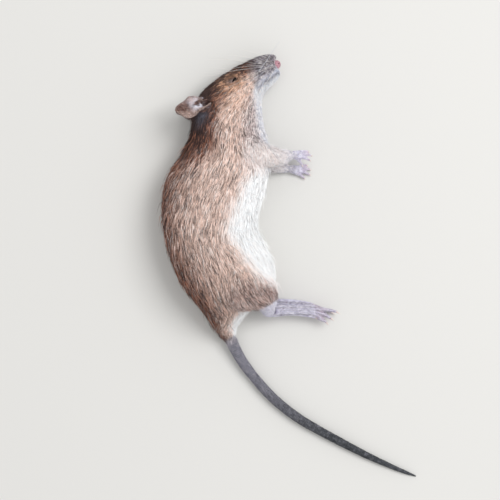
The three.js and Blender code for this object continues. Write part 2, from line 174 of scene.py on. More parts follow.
TOES = {
    "hind_right": [
        [(5.7, -13.2, 4.0), (8.7, -13.0, 3.5), (11.1, -13.7, 3.2)],
        [(8.1, -13.6, 4.3), (12.0, -13.9, 4.1), (15.0, -14.4, 3.7), (16.6, -15.2, 3.2)],
        [(8.3, -14.4, 4.2), (11.4, -15.3, 4.0), (13.4, -16.3, 3.6), (14.8, -17.3, 3.1)],
        [(8.0, -15.0, 4.1), (10.5, -16.3, 3.9), (12.1, -17.5, 3.5), (13.1, -18.6, 3.0)],
        [(5.6, -15.3, 4.2), (8.4, -16.1, 3.8), (11.0, -17.0, 3.3)],
    ],
    "hind_left": [
        [(4.9, -12.0, 0.8), (7.8, -12.3, 0.7), (10.2, -13.2, 0.55)],
        [(7.5, -12.8, 0.9), (11.1, -13.7, 0.8), (13.6, -14.5, 0.7), (15.3, -15.5, 0.5)],
        [(7.6, -13.6, 0.9), (10.8, -14.8, 0.8), (12.9, -15.8, 0.7), (14.2, -16.8, 0.5)],
        [(7.4, -14.3, 0.9), (9.9, -15.6, 0.8), (11.6, -16.8, 0.7), (12.6, -17.9, 0.5)],
        [(4.9, -14.2, 0.8), (7.4, -15.2, 0.7), (9.4, -16.4, 0.55)],
    ],
    "fore_right": [
        [(3.6, 33.6, 6.1), (5.1, 34.0, 5.8), (6.6, 34.0, 5.2), (7.3, 33.8, 4.7)],
        [(4.1, 33.0, 6.0), (5.8, 33.1, 5.7), (7.5, 32.9, 5.0), (8.2, 32.6, 4.4)],
        [(4.1, 32.3, 5.9), (5.7, 32.0, 5.5), (7.1, 31.5, 4.8), (7.7, 31.1, 4.2)],
        [(3.4, 31.7, 5.9), (4.3, 30.9, 5.4), (5.0, 30.0, 4.8), (5.2, 29.4, 4.4)],
    ],
    "fore_left": [
        [(3.4, 29.3, 0.95), (5.0, 29.9, 0.85), (6.4, 30.1, 0.7), (7.0, 30.0, 0.5)],
        [(3.9, 28.9, 0.9), (5.7, 29.1, 0.85), (7.3, 28.9, 0.7), (8.0, 28.6, 0.5)],
        [(3.9, 28.2, 0.9), (5.7, 28.0, 0.85), (7.2, 27.4, 0.7), (7.9, 27.0, 0.5)],
        [(3.3, 27.7, 0.9), (4.6, 27.1, 0.85), (5.7, 26.3, 0.7), (6.1, 25.8, 0.5)],
    ],
}
TOE_RADII = {"hind": [0.75, 0.62, 0.5, 0.3], "fore": [0.6, 0.52, 0.42, 0.28]}

# Each ear is a cupped petal: its root, the way it grows, the way it opens, and its size.
EAR = {
    "right": ((-22.9, 47.3, 11.6), (-0.9, -0.3, 0.28), (-0.15, 0.8, 0.58), 10.6, 8.0, 2.0),
    "left": ((-23.0, 48.0, 2.3), (-0.93, -0.36, -0.06), (0.0, 0.3, -0.95), 8.6, 4.8, 0.5),
}

FLANKS = {"right": 1, "left": -1}

# The eyes: their place on the body, and the ways they face and slit, as angles.
EYE_STATION, EYE_ANGLE = 5.17, 0.955
EYE_FACING = 0.84  # the way of the head's own line at the eye, in the plane of the floor
EYE_TILT = 1.08  # the way of the slit between the lids
EYE_LEAN = 0.55  # from straight up towards the line of the back
EYE_RADII = (1.3, 1.0, 0.95)
EYE_SINK = 1.46  # how far the ball's middle lies under the tips of the coat
SLIT = (1.05, 0.36)  # half the opening between the lids, along and across
LID_RIM = 0.16

# The muzzle, the nose pad and the slit between the lips.
SNOUT_ONWARD = np.array([0.866, 0.5, 0.0])
SNOUT_UP = np.array([-0.5, 0.866, 0.0])
NOSE_AT = np.array([-2.3, 60.6, 4.95])
NOSE_PAD = NOSE_AT - SNOUT_ONWARD * 0.7 + np.array([0, 0, 0.2])
NOSE_REACH = (1.45, 1.35, 1.95)
NOSE_ROOM = 1.9  # how far the skin draws back to make room for the pad
BARE_NOSE = 1.75  # no hair grows closer to the pad's middle than this
MUZZLE_BOX = ((-14, 50, -1), (2, 66, 12))
NOSTRIL, NOSE_WING = (0.62, -0.12, 0.72), (0.4, 0.35, 0.8)  # ways from the pad's middle
MOUTH = [(0.75, 178), (1.1, 150), (1.7, 127), (2.1, 128), (2.6, 132)]  # station, degrees
MOUTH_DEPTH = 0.3  # from the tips of the coat to the skin there
WHISKER_PAD, CHEEK = (2.3, 88), (3.7, 96)  # station, degrees

# Claws and whiskers.
CLAW_FROM = 0.35  # where the claw leaves the toe, as a share of the toe's last length
CLAW_REACH = 1.12  # where it ends, as such a share
CLAW_RADII = {"hind": 0.30, "fore": 0.27}
CLAW_ARCH, LOW_CLAW_ARCH = 0.28, 0.12  # the second is for the toes that lie on the floor
CLAW_SIDES, WHISKER_SIDES = 8, 4
WHISKER_ROWS, WHISKERS_IN_ROW = 5, 4
PALE_SHARE = 0.3  # of the whiskers on the pads
WHISKER_RADIUS, BROW_RADIUS, LONG_RADIUS = 0.055, 0.045, 0.1
BROW_WHISKERS = [(4.7, 30), (5.2, 24)]  # station, degrees
LONG_WHISKER = [(-8.7, 57.2, 8.4), (-6.6, 59.6, 11.4), (-4.6, 62.4, 13.6), (-2.0, 66.0, 15.2)]
WHISKER_GAP = 0.03  # between a whisker and the floor

TAIL_TOP = -21.5  # the tail is all the skin further back than this
TAIL_RING = 0.6  # from one ring of the tail to the next
FAR_AWAY = 9.0

# ---------------------------------------------------------------- small tools


def unit(vectors):
    return vectors / np.maximum(np.linalg.norm(vectors, axis=-1, keepdims=True), 1e-9)


def dot(a, b):
    return (a * b).sum(-1, keepdims=True)


def ease(low, high, values):
    """0 below low, 1 above high, and smooth between them."""
    t = np.clip((values - low) / (high - low), 0, 1)
    return t * t * (3 - 2 * t)


def mix(a, b, share):
    return a + (b - a) * share


def bump(values, middle, reach):
    """1 where a value is at its middle, falling to 0.37 at reach."""
    return np.exp(-(((values - middle) / reach) ** 2))


def near(points, centre, reach):
    """1 at the centre, falling to 0.37 at reach."""
    return bump(np.linalg.norm(points - centre, axis=1), 0, reach)


def tree_of(points):
    """A search tree of points."""
    tree = KDTree(len(points))
    for i, point in enumerate(points):
        tree.insert(point, i)
    tree.balance()
    return tree


def raise_to(fields, name, values):
    """Raises a field to the given values where it is lower."""
    fields[name] = np.maximum(fields[name], values)


def placed(name, data):
    """A new object of this name in the scene."""
    made = bpy.data.objects.new(name, data)
    bpy.context.scene.collection.objects.link(made)
    return made


def node_middle(name):
    low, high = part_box(name)
    return np.array((low + high) / 2) / MM


SHIFT = node_middle("nose") - NOSE_AT


def to_frame(points):
    return (np.asarray(points, float) + SHIFT) * MM


def ripple(points, size, seed):
    """A smooth random value, mostly from -1 to 1, whose bumps are about size across."""
    draw = np.random.default_rng(seed)
    waves = 9
    total = np.zeros(len(points))
    for _ in range(waves):
        heading = draw.normal(size=3)
        heading *= 2 * math.pi / size * draw.uniform(0.6, 1.5) / np.linalg.norm(heading)
        total += np.sin(points @ heading + draw.uniform(0, 2 * math.pi))
    return total * math.sqrt(2 / waves) * 0.7


def curve(points):
    """A smooth line through points: place 0 is the first point, 1 the second, and so on."""
    points = np.asarray(points, float)
    ends = 2 * points[0] - points[1], 2 * points[-1] - points[-2]
    padded = np.vstack([ends[0], points, ends[1]])
    steps = np.sqrt(np.linalg.norm(np.diff(padded, axis=0), axis=1))

    def at(place):
        place = np.asarray(place, float)
        first = np.clip(np.floor(place).astype(int), 0, len(points) - 2)
        t = (place - first)[..., None]
        p0, p1, p2, p3 = (padded[first + i] for i in range(4))
        d0, d1, d2 = (np.maximum(steps[first + i], 1e-4)[..., None] for i in range(3))
        a = ((p1 - p0) / d0 - (p2 - p0) / (d0 + d1) + (p2 - p1) / d1) * d1
        b = ((p2 - p1) / d1 - (p3 - p1) / (d1 + d2) + (p3 - p2) / d2) * d1
        return p1 + t * (a + t * (3 * (p2 - p1) - 2 * a - b + t * (2 * (p1 - p2) + a + b)))

    return at


back_line = curve([row[0] for row in BODY])
belly_line = curve([row[1] for row in BODY])
form_line = curve([row[2:] for row in BODY])


def fuller(value):
    return np.sign(value) * np.abs(value) ** BODY_FULLNESS


def body_point(station, turn):
    """A point of the coat's outer form: turn 0 is the back, a quarter turn the right flank."""
    station, turn = np.broadcast_arrays(np.asarray(station, float), np.asarray(turn, float))
    back, belly, form = back_line(station), belly_line(station), form_line(station)
    across = -fuller(np.cos(turn))
    upward = fuller(np.sin(turn)) * (1 + form[..., 2] * across)
    plan = (back + belly) / 2 + (belly - back) / 2 * across[..., None]
    height = form[..., 1] + upward * form[..., 0]
    return np.concatenate([plan, height[..., None]], -1)


def on_body(place, flank):
    """The point of the outer form at a station and degrees from the back, on one flank."""
    station, degrees = place
    return body_point(station, flank * np.radians(degrees))


def limb_surface(stations):
    line = curve([row[0] for row in stations])
    radii = curve([(row[1], row[2], 0) for row in stations])

    def at(place, turn):
        place, turn = np.broadcast_arrays(np.asarray(place, float), np.asarray(turn, float))
        onward = unit(line(place + 0.01) - line(place - 0.01))
        sideways = unit(np.stack([onward[..., 1], -onward[..., 0], 0 * place], -1))
        upward = np.cross(sideways, onward)
        reach = radii(place)
        return (line(place) + sideways * (np.cos(turn) * reach[..., 0])[..., None]
                + upward * (np.sin(turn) * reach[..., 1])[..., None])

    return at


EAR_ROOT_SHARE, EAR_SWELL, EAR_SWELL_TURN = 0.5, 0.55, 2.1
EAR_TIP, EAR_RIM, EAR_END = 5, 4, 0.03
EAR_FLATTENING, EAR_THICK = 0.4, 0.75


def ear_axes(side):
    root, grows, opens = (np.array(part, float) for part in EAR[side][:3])
    along = unit(grows)
    across = unit(np.cross(along, opens))
    return root, along, across, np.cross(across, along)


def ear_surface(side, face):
    """The ear's inner face (+1) or its back (-1), over far 0..1 and over -1..1."""
    root, along, across, opening = ear_axes(side)
    long, wide, cup = EAR[side][3:]

    def at(far, over):
        far, over = np.broadcast_arrays(np.asarray(far, float), np.asarray(over, float))
        swollen = EAR_ROOT_SHARE + EAR_SWELL * np.sin(far * EAR_SWELL_TURN)
        breadth = wide / 2 * swollen * np.sqrt(1 + EAR_END - far**EAR_TIP)
        depth = face * EAR_THICK * np.sqrt(1 + EAR_END - over**EAR_RIM) / 2
        depth = depth + cup * over**2 * (1 - EAR_FLATTENING * far)
        return (root + along * (long * far)[..., None] + across * (breadth * over)[..., None]
                + opening * depth[..., None])

    return at


# ---------------------------------------------------------------- charts of the coat

# Every part of the surface is a chart: a net of points that knows which way the hair lies, how
# long and thick it is, and where it sits on the unwrapped skin, a square sheet of SHEET mm.
SHEET, SHEET_MARGIN = 126.0, 0.004
OFF_FORM = 0.55  # a chart's points that are further than this from the outer form are dropped
FIELDS = ["depth", "length", "width", "crowd", "white", "back", "grey", "bare", "tail"]

# Degrees from the line of the back where the brown ends and the white of the belly begins.
WHITE_BORDER = np.array([
    (0, 96), (2.5, 106), (4, 106), (5, 128), (6, 143), (7.9, 138), (9.2, 127), (10.2, 125),
    (11.1, 117), (12.3, 110), (13.4, 111), (14.1, 116), (14.7, 124), (15.4, 150), (16, 150),
    (16.7, 112), (18, 112), (19, 125),
])
# Along the body: station, depth of the coat, length and width of a tuft, and layers of tufts.
BODY_COAT = np.array([
    (0, 0.22, 0.65, 0.10, 1.8),
    (1, 0.27, 0.85, 0.11, 2.5),
    (2, 0.34, 1.1, 0.12, 3.2),
    (3, 0.44, 1.4, 0.13, 4.2),
    (4, 0.58, 1.7, 0.15, 5.2),
    (5, 0.75, 2.1, 0.16, 6.2),
    (6, 1.00, 2.8, 0.18, 7.0),
    (7, 1.20, 3.4, 0.20, 7.5),
    (8, 1.40, 4.0, 0.21, 8.0),
    (10, 1.60, 4.8, 0.22, 8.5),
    (16, 1.60, 5.0, 0.22, 8.5),
    (17, 1.40, 4.4, 0.21, 8.5),
    (18, 0.90, 2.6, 0.17, 7.0),
    (19, 0.35, 1.3, 0.11, 3.5),
])


def at_station(table, column, station):
    return np.interp(station, table[:, 0], table[:, column])


def tufts_per_mm2(layers, length, width):
    """How many tapering tufts on a square millimetre cover it this many times."""
    return layers * 2 / (length * width)


def body_fields(station, turn):
    """The coat's fields on the body: its size, and how far each marking holds, mostly from 0 to 1."""
    turned = np.degrees(np.abs((turn + math.pi) % (2 * math.pi) - math.pi))
    border = at_station(WHITE_BORDER, 1, station)
    length, width = at_station(BODY_COAT, 2, station), at_station(BODY_COAT, 3, station)
    crown = ease(2.2, 4.5, station) * (1 - ease(8.0, 10.5, station))
    beside_eye = bump(station, EYE_STATION, 0.8) * bump(turned, math.degrees(EYE_ANGLE), 22)
    along_back = (1 - ease(14 + 24 * crown, 86 + 12 * crown, turned)) * (1 - 0.5 * beside_eye)
    over_crown = 2.3 * crown * (1 - ease(40, 82, turned)) * (1 - 0.9 * beside_eye)
    over_rump = 0.3 * ease(13, 15.5, station) * (1 - ease(70, 120, turned))
    muzzle = 1 - ease(2.9, 4.1, station + 0.3 * np.cos(np.radians(turned)))
    throat = 0.5 * ease(95, 125, turned) * ease(3.2, 4.8, station) * (1 - ease(8.5, 10.5, station))
    return {
        "depth": at_station(BODY_COAT, 1, station),
        "length": length,
        "width": width,
        "crowd": tufts_per_mm2(at_station(BODY_COAT, 4, station), length, width),
        "white": ease(-13, 15, turned - border),
        "back": along_back + over_crown + over_rump,
        "grey": muzzle * (1 - 0.75 * ease(122, 140, turned)) + throat,
        "bare": 0.3 * (1 - ease(0.6, 1.3, station)),
        "tail": 0.3 * ease(18.3, 19, station),
    }


def plain_fields(far, turn, depth, length, width, layers, bare, **marks):
    """The fields of a limb, an ear or the tail; the marks that aren't given are 0."""
    both = 0 * far + 0 * turn
    fields = {name: both for name in FIELDS}
    fields.update(depth=depth + both, length=length + both, width=width + both, bare=bare + both)
    fields["crowd"] = tufts_per_mm2(layers, fields["length"], fields["width"])
    fields.update({name: value + both for name, value in marks.items()})
    return fields


def leg_fields(place, turn, stations, white, back, grey):
    """white, back and grey are each a pair: at the top of the leg and at its foot."""
    far = place / (len(stations) - 1)
    under = 0.5 - 0.5 * np.sin(turn)
    return plain_fields(
        far, turn, mix(1.3, 0.25, ease(0, 1, far)), mix(4.4, 1.6, far**0.8), mix(0.21, 0.12, far),
        mix(8.0, 4.5, far), 0.5 * ease(0.8, 1.0, far), back=mix(*back, ease(0.3, 0.9, far)),
        grey=mix(*grey, ease(0.3, 0.95, far)),
        white=np.clip(mix(*white, far) + 0.5 * under * (1 - far), 0, 1))


LEG_TAKES_OVER = (0.8, 4.2)  # places along a leg between which the hair turns to follow it


class Charts:
    """All charts together, with the nearest-point search that the skin and the tufts use."""

    PARTS = ["points", "flow", "across", "sheet", "fields", "turned"]

    def __init__(self):
        for name in self.PARTS:
            setattr(self, name, [])

    def add(self, surface, first, second, corner, fields, standing=False, lie=None):
        """Adds a net over first x second. corner is where it starts on the unwrapped sheet, and
        lie is how the body's hair lies where a leg leaves it."""
        u, v = np.meshgrid(first, second, indexing="ij")
        step_u, step_v = 1e-3 * (first[-1] - first[0]), 1e-3 * (second[-1] - second[0])
        points = surface(u, v)
        du = surface(u + step_u / 2, v) - surface(u - step_u / 2, v)
        dv = surface(u, v + step_v / 2) - surface(u, v - step_v / 2)
        pace_u = np.linalg.norm(du, axis=-1).mean(1) / step_u
        pace_v = np.linalg.norm(dv, axis=-1).mean(1) / step_v
        travelled = np.concatenate([[0], np.cumsum(np.diff(first) * (pace_u[1:] + pace_u[:-1]) / 2)])
        breadth = pace_v * (second[-1] - second[0])
        middle = breadth.max() / 2
        lay_u = np.broadcast_to(travelled[:, None], u.shape)
        lay_v = middle + (v - (second[0] + second[-1]) / 2) * pace_v[:, None]
        lay = [lay_v, lay_u] if standing else [lay_u, lay_v]
        self.points.append(points.reshape(-1, 3))
        flow = unit(du)
        if lie is not None:
            flow = unit(mix(np.array(lie), flow, ease(*LEG_TAKES_OVER, u)[..., None]))
        self.flow.append(flow.reshape(-1, 3))
        self.across.append(unit(dv).reshape(-1, 3))
        self.sheet.append(np.stack(lay, -1).reshape(-1, 2) + corner)
        values = fields(u, v)
        self.fields.append(np.stack([values[name] for name in FIELDS], -1).reshape(-1, len(FIELDS)))
        self.turned.append(np.full(u.size, standing))

    def close(self, form):
        """Drops what lies inside the body and makes the search tree."""
        self.points = np.concatenate(self.points)
        outside = np.array([form.find_nearest(Vector(p))[3] < OFF_FORM for p in self.points])
        self.points = self.points[outside]
        for name in self.PARTS[1:]:
            setattr(self, name, np.concatenate(getattr(self, name))[outside])
        self.tree = tree_of(self.points)

    def read(self, points, count=5):
        """Flow and fields at points, blended over the nearest few points of the charts."""
        found = [self.tree.find_n(p, count) for p in points]
        index = np.array([[f[1] for f in row] for row in found])
        distance = np.array([[f[2] for f in row] for row in found])
        weight = 1 / (distance**2 + 0.04)
        weight = (weight / weight.sum(1, keepdims=True))[..., None]
        fields = (self.fields[index] * weight).sum(1)
        flow = unit((self.flow[index] * weight).sum(1))
        return flow, dict(zip(FIELDS, fields.T))

    def place(self, points):
        """Where each point lies on the unwrapped sheet, from 0 to 1."""
        index = np.array([self.tree.find(p)[1] for p in points])
        offset = points - self.points[index]
        shift = np.concatenate([dot(offset, self.flow[index]), dot(offset, self.across[index])], 1)
        shift = np.where(self.turned[index][:, None], shift[:, ::-1], shift)
        sheet = (self.sheet[index] + np.clip(shift, -1, 1)) / SHEET
        return np.clip(sheet, SHEET_MARGIN, 1 - SHEET_MARGIN)


def around(count):
    return np.linspace(-math.pi, math.pi, count)


def chart_legs(charts):
    hind_lie, fore_lie = (0.5, -0.85, -0.1), (0.25, -0.95, 0.0)
    hind_marks = {"back": (0.6, 1.1), "grey": (0.1, 0.55)}
    fore_marks = {"back": (0.15, 0.0), "grey": (0.1, 0.8)}
    legs = [
        (HIND_LEG["right"], (1, 85), hind_lie, {"white": (0.1, 0.0), **hind_marks}),
        (HIND_LEG["left"], (25, 85), hind_lie, {"white": (0.3, 0.0), **hind_marks}),
        (FORELEG["right"], (43, 85), fore_lie, {"white": (0.45, 0.8), **fore_marks}),
        (FORELEG["left"], (61, 85), fore_lie, {"white": (0.5, 0.8), **fore_marks}),
    ]
    for stations, corner, lie, marks in legs:
        charts.add(
            limb_surface(stations), np.linspace(0.15, len(stations) - 1, 34), around(52), corner,
            lambda u, v, s=stations, m=marks: leg_fields(u, v, s, **m), lie=lie)


def chart_feet(charts):
    def foot_coat(u, v):
        return plain_fields(u, v, 0.1, 0.8, 0.075, mix(2.0, 1.1, ease(0, 3, u)), 1.0)

    def toe_coat(u, v):
        return plain_fields(u, v, 0.06, 0.5, 0.06, 0.8, 1.0)

    for row, table in enumerate([HIND_SOLE, FORE_SOLE]):
        for column, stations in enumerate(table.values()):
            charts.add(limb_surface(stations), np.linspace(0, len(stations) - 1, 26), around(26),
                       (78 + mix(18, 6, row) * column, 85 + 11 * row), foot_coat)
    for row, (name, toes) in enumerate(TOES.items()):
        radii = TOE_RADII[name.split("_")[0]]
        for column, toe in enumerate(toes):
            bones = [(at, *[radii[i + len(radii) - len(toe)]] * 2) for i, at in enumerate(toe)]
            charts.add(limb_surface(bones), np.linspace(0, len(toe) - 1, 18), around(10),
                       (78 + 9.2 * column, 105 + 4.9 * row), toe_coat)


def chart_tail(charts):
    def tail_coat(u, v):
        far = ease(-0.8, 1.2, u)
        return plain_fields(
            u, v, mix(0.5, 0.1, far), mix(2.4, 0.95, far) * mix(1, 0.8, u / 11),
            mix(0.16, 0.07, far), mix(4.5, 1.1, far), far, grey=0.5 * (1 - far),
            white=0.45 * (1 - far), tail=ease(-1.0, 0.9, u) * mix(0.5, 1.0, ease(1.0, 7.5, u)))

    charts.add(limb_surface(TAIL), np.linspace(0, len(TAIL) - 1, 170), around(20),
               (111, 1), tail_coat, standing=True)


def chart_ears(charts):
    def back(u, v):
        return plain_fields(u, v, 0.12, mix(1.4, 0.8, u), 0.085, mix(6.5, 5.0, u), 0.1 + 0.15 * u,
                            back=0.75, grey=0.12)

    def right_inside(u, v):
        bare = ease(-0.7, -0.4, v) * (1 - ease(0.42, 0.6, u))
        return plain_fields(u, v, mix(0.12, 0.05, bare), mix(0.95, 0.5, bare), mix(0.085, 0.06, bare),
                            mix(6.5, 0.4, bare), bare, back=mix(0.4, 1.1, ease(-0.6, 0.1, v)), grey=0.12)

    def left_inside(u, v):
        return plain_fields(u, v, 0.05, 0.6, 0.06, 1.0, 0.8, back=0.4)

    ears = [("right", -1, (43, 113), back), ("right", 1, (54.5, 113), right_inside),
            ("left", -1, (66.5, 110), back), ("left", 1, (66.5, 116), left_inside)]
    for side, face, corner, coat in ears:
        charts.add(ear_surface(side, face), np.linspace(0.02, 0.98, 24),
                   np.linspace(-0.98, 0.98, 22), corner, coat)


def make_charts():
    charts = Charts()
    charts.add(body_point, np.linspace(0, len(BODY) - 1, 170), around(120), (1, 1), body_fields)
    for chart in (chart_legs, chart_feet, chart_tail, chart_ears):
        chart(charts)
    return charts


# ---------------------------------------------------------------- the skin

BODY_FLESH = ["head", "neck", "trunk", "tail_base", "tail_middle", "tail_tip"] + [
    f"{part}_{side}" for part in ("foreleg", "hindleg") for side in FLANKS]
SMALL_FLESH = [f"{part}_{side}" for part in ("ear", "forefoot", "hindfoot") for side in FLANKS]
SWELL, JOINT_SWELL, TOE_SWELL = 0.2, 0.5, 0.02  # closes the cuts between solids, but not between toes
NET, SMALL_NET = 0.46, 0.19  # spacing of the skin's net: on the body, and on the ears and feet


def arrays_of(mesh):
    """Points and faces of a Blender mesh, faces as a list of tuples."""
    points = np.zeros(len(mesh.vertices) * 3)
    mesh.vertices.foreach_get("co", points)
    return points.reshape(-1, 3), [tuple(face.vertices) for face in mesh.polygons]


def joined(parts):
    points, faces, first = [], [], 0
    for more_points, more_faces in parts:
        points.append(more_points)
        faces += [tuple(first + corner for corner in face) for face in more_faces]
        first += len(more_points)
    return np.vstack(points), faces


def swell_at(points):
    """How far the solids are pushed out at each point, before they are joined."""
    swell = np.full(len(points), SWELL)
    for table, start, stop in ((HIND_SOLE, 2.0, 6.0), (FORE_SOLE, 0.8, 2.2)):
        for sole in table.values():
            heel, front = np.array(sole[0][0]), np.array(sole[-1][0])
            onward = unit(front - heel)
            ahead = (points - heel) @ onward
            aside = np.linalg.norm(points - heel - ahead[:, None] * onward, axis=1)
            swell = np.where(aside < 7, mix(swell, TOE_SWELL, ease(start, stop, ahead)), swell)
            joint = heel + onward * start * 0.3
            swell = swell + (JOINT_SWELL - SWELL) * near(points, joint, 1.9)
    return swell[:, None]


def swollen_solid(name):
    """A CAD node's points and faces in the maker's frame, pushed out a little."""
    mesh = bmesh.new()
    mesh.from_mesh(NODES[name].data)
    bmesh.ops.remove_doubles(mesh, verts=mesh.verts, dist=2e-6)
    mesh.normal_update()
    points = np.array([v.co for v in mesh.verts]) / MM - SHIFT
    normals = np.array([v.normal for v in mesh.verts])
    faces = [tuple(v.index for v in face.verts) for face in mesh.faces]
    mesh.free()
    return points + normals * swell_at(points), faces


def work_object(points, faces):
    mesh = bpy.data.meshes.new("work")
    mesh.from_pydata(points.tolist(), [], faces)
    return placed("work", mesh)


def with_modifier(points, faces, kind, other=None, **settings):
    """A solid after one of Blender's modifiers; other is the second solid of a union."""
    workers = [work_object(points, faces)]
    modifier = workers[0].modifiers.new("work", kind)
    for name, value in settings.items():
        setattr(modifier, name, value)
    if other:
        workers.append(work_object(*other))
        modifier.object = workers[1]
    evaluated = workers[0].evaluated_get(bpy.context.evaluated_depsgraph_get())
    result = arrays_of(evaluated.data)
    for worker in workers:
        mesh = worker.data
        bpy.data.objects.remove(worker)
        bpy.data.meshes.remove(mesh)
    return result


def bmesh_of(points, faces):
    mesh = bmesh.new()
    made = [mesh.verts.new(p) for p in points]
    for face in faces:
        mesh.faces.new([made[i] for i in face])
    mesh.verts.index_update()
    return mesh


def taken_from(mesh):
    """A bmesh's points and faces; the bmesh is freed."""
    mesh.verts.index_update()
    points = np.array([v.co for v in mesh.verts])
    faces = [tuple(v.index for v in face.verts) for face in mesh.faces]
    mesh.free()
    return points, faces


def largest_body(points, faces):
    """The largest loose part of a net, with no faces of more than four corners."""
    mesh = bmesh_of(points, faces)
    left, best = set(mesh.verts), []
    while left:
        stack, body = [left.pop()], []
        while stack:
            vert = stack.pop()
            body.append(vert)
            for edge in vert.link_edges:
                other = edge.other_vert(vert)
                if other in left:
                    left.remove(other)
                    stack.append(other)
        best = max(best, body, key=len)
    keep = set(best)
    bmesh.ops.delete(mesh, geom=[v for v in mesh.verts if v not in keep], context="VERTS")
    bmesh.ops.dissolve_verts(mesh, verts=[v for v in mesh.verts if len(v.link_edges) == 2])
    bmesh.ops.triangulate(mesh, faces=[face for face in mesh.faces if len(face.verts) > 4])
    return taken_from(mesh)


def refine(points, faces, wanted):
    """Splits the faces whose corners are all wanted into four."""
    mesh = bmesh_of(points, faces)
    edges = [e for e in mesh.edges if wanted[e.verts[0].index] and wanted[e.verts[1].index]]
    bmesh.ops.subdivide_edges(mesh, edges=edges, cuts=1, use_grid_fill=True)
    return taken_from(mesh)


def edges_of(faces):
    pairs = np.array([(a, b) for face in faces for a, b in zip(face, face[1:] + face[:1])])
    return np.unique(np.sort(pairs, 1), axis=0)


def smooth(values, edges, rounds, strength=0.5, regain=0.0):
    """Moves values at points towards the mean of their neighbours; regain undoes the shrinking."""
    ends = np.concatenate([edges, edges[:, ::-1]])
    count = np.bincount(ends[:, 0], minlength=len(values))
    for step in [strength, -regain] * rounds:
        if step == 0:
            continue
        mean = np.stack([np.bincount(ends[:, 0], column[ends[:, 1]], len(values))
                         for column in values.T], 1) / count[:, None]
        values = values + step * (mean - values)
    return values


def normals_of(points, faces):
    total = np.zeros_like(points)
    for size in (3, 4, 5, 6):
        group = np.array([face for face in faces if len(face) == size], int).reshape(-1, size)
        if not len(group):
            continue
        corners = points[group]
        centre = corners.mean(1, keepdims=True)
        area = np.cross(corners - centre, np.roll(corners, -1, 1) - centre).sum(1)
        for column in range(size):
            for axis in range(3):
                total[:, axis] += np.bincount(group[:, column], area[:, axis], len(points))
    return unit(total)


def eye_frame(flank):
    """The eye's place on the coat, and the axes along the slit, across it and outwards."""
    place = body_point(EYE_STATION, flank * EYE_ANGLE)
    lean = flank * EYE_LEAN
    outward = flank * np.array([-math.sin(EYE_FACING) * math.sin(lean),
                                math.cos(EYE_FACING) * math.sin(lean), math.cos(lean)])
    slit = np.array([math.cos(EYE_TILT), math.sin(EYE_TILT), 0])
    slit = unit(slit - outward * dot(slit, outward))
    return place, slit, np.cross(outward, slit), outward


def round_eye(points, flank, room=(0, 0)):
    """How far points are from the eye, and where they stand round its slit made wider by room:
    under 1 inside, 1 on the rim."""
    place, slit, over, _ = eye_frame(flank)
    offset = points - place
    beside = offset @ slit / (SLIT[0] + room[0]), offset @ over / (SLIT[1] + room[1])
    return np.linalg.norm(offset, axis=1), np.hypot(*beside)


def netted(names, spacing):
    """The solids of these names under one net of the given spacing."""
    solids = joined([swollen_solid(name) for name in names])
    return with_modifier(*solids, "REMESH", mode="VOXEL", voxel_size=spacing)


def outer_form():
    """One closed net around all the flesh, as far out as the tips of the coat."""
    body = largest_body(*netted(BODY_FLESH + ["nose"] + [f"eye_{side}" for side in FLANKS], NET))
    small = netted(SMALL_FLESH, SMALL_NET)
    small = smooth(small[0], edges_of(small[1]), 4, 0.5, 0.5), small[1]
    body = smooth(body[0], edges_of(body[1]), 5, 0.5, 0.5), body[1]
    points, faces = with_modifier(*body, "BOOLEAN", small, operation="UNION", solver="MANIFOLD")
    points, faces = largest_body(points, faces)
    edges = edges_of(faces)
    points = smooth(points, edges, 1, 0.5, 0.5)
    heels = [np.array(sole[0][0]) for table in (HIND_SOLE, FORE_SOLE) for sole in table.values()]
    joint = sum(near(points, heel, 2.6) for heel in heels)[:, None]
    return mix(points, smooth(points, edges, 14, 0.5, 0.45), np.clip(joint * 1.6, 0, 1)), faces


def within(points, low, high, margin=0.0):
    return ((points > np.array(low) - margin) & (points < np.array(high) + margin)).all(1)


def node_box(name):
    low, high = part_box(name)
    return np.array(low) / MM - SHIFT, np.array(high) / MM - SHIFT


def mouth_line():
    """Points on the skin along the slit between the lips, on both flanks."""
    lines = []
    for flank in FLANKS.values():
        station, degrees = curve(MOUTH)(np.linspace(0, len(MOUTH) - 1, 40)).T
        places = on_body((station, degrees), flank)
        opposite = body_point(station, flank * np.radians(degrees) + math.pi)
        lines.append(places + unit(opposite - places) * MOUTH_DEPTH)
    return np.vstack(lines)


def distance_to(points, line):
    return np.min(np.linalg.norm(points[:, None] - line[None], axis=2), axis=1)


def from_mouth(points):
    """How far each point near the muzzle is from the slit between the lips."""
    apart = np.full(len(points), FAR_AWAY)
    close = within(points, *MUZZLE_BOX)
    apart[close] = distance_to(points[close], mouth_line())
    return apart


def finer_net(points, faces):
    """The net made finer where the skin shows: on the muzzle and round the eyes and lips."""
    def close_to_eyes(points, reach):
        return np.any([round_eye(points, flank)[0] < reach for flank in FLANKS.values()], axis=0)

    def fine(points):
        return within(points, *MUZZLE_BOX) | close_to_eyes(points, 3.6)

    def finest(points):
        return (from_mouth(points) < 0.8) | close_to_eyes(points, 2.5)

    for chosen in (fine, finest):
        points, faces = refine(points, faces, chosen(points))
        edges = edges_of(faces)
        points = np.where(chosen(points)[:, None], smooth(points, edges, 2, 0.5, 0.5), points)
    return points, faces, edges


def shape_lids(skin):
    """Opens a slit over each eye, with a rim to each lid and a fold around them."""
    for flank in FLANKS.values():
        apart, ring = round_eye(skin, flank)
        fold = round_eye(skin, flank, room=(0.75, 0.95))[1]
        lift = LID_RIM * bump(ring, 1.35, 0.45) - 0.12 * bump(fold, 1.0, 0.16)
        lift = lift - 0.9 * (1 - ease(0.75, 1.12, ring))
        skin = skin + eye_frame(flank)[3] * (lift * (apart < 4))[:, None]
    return skin


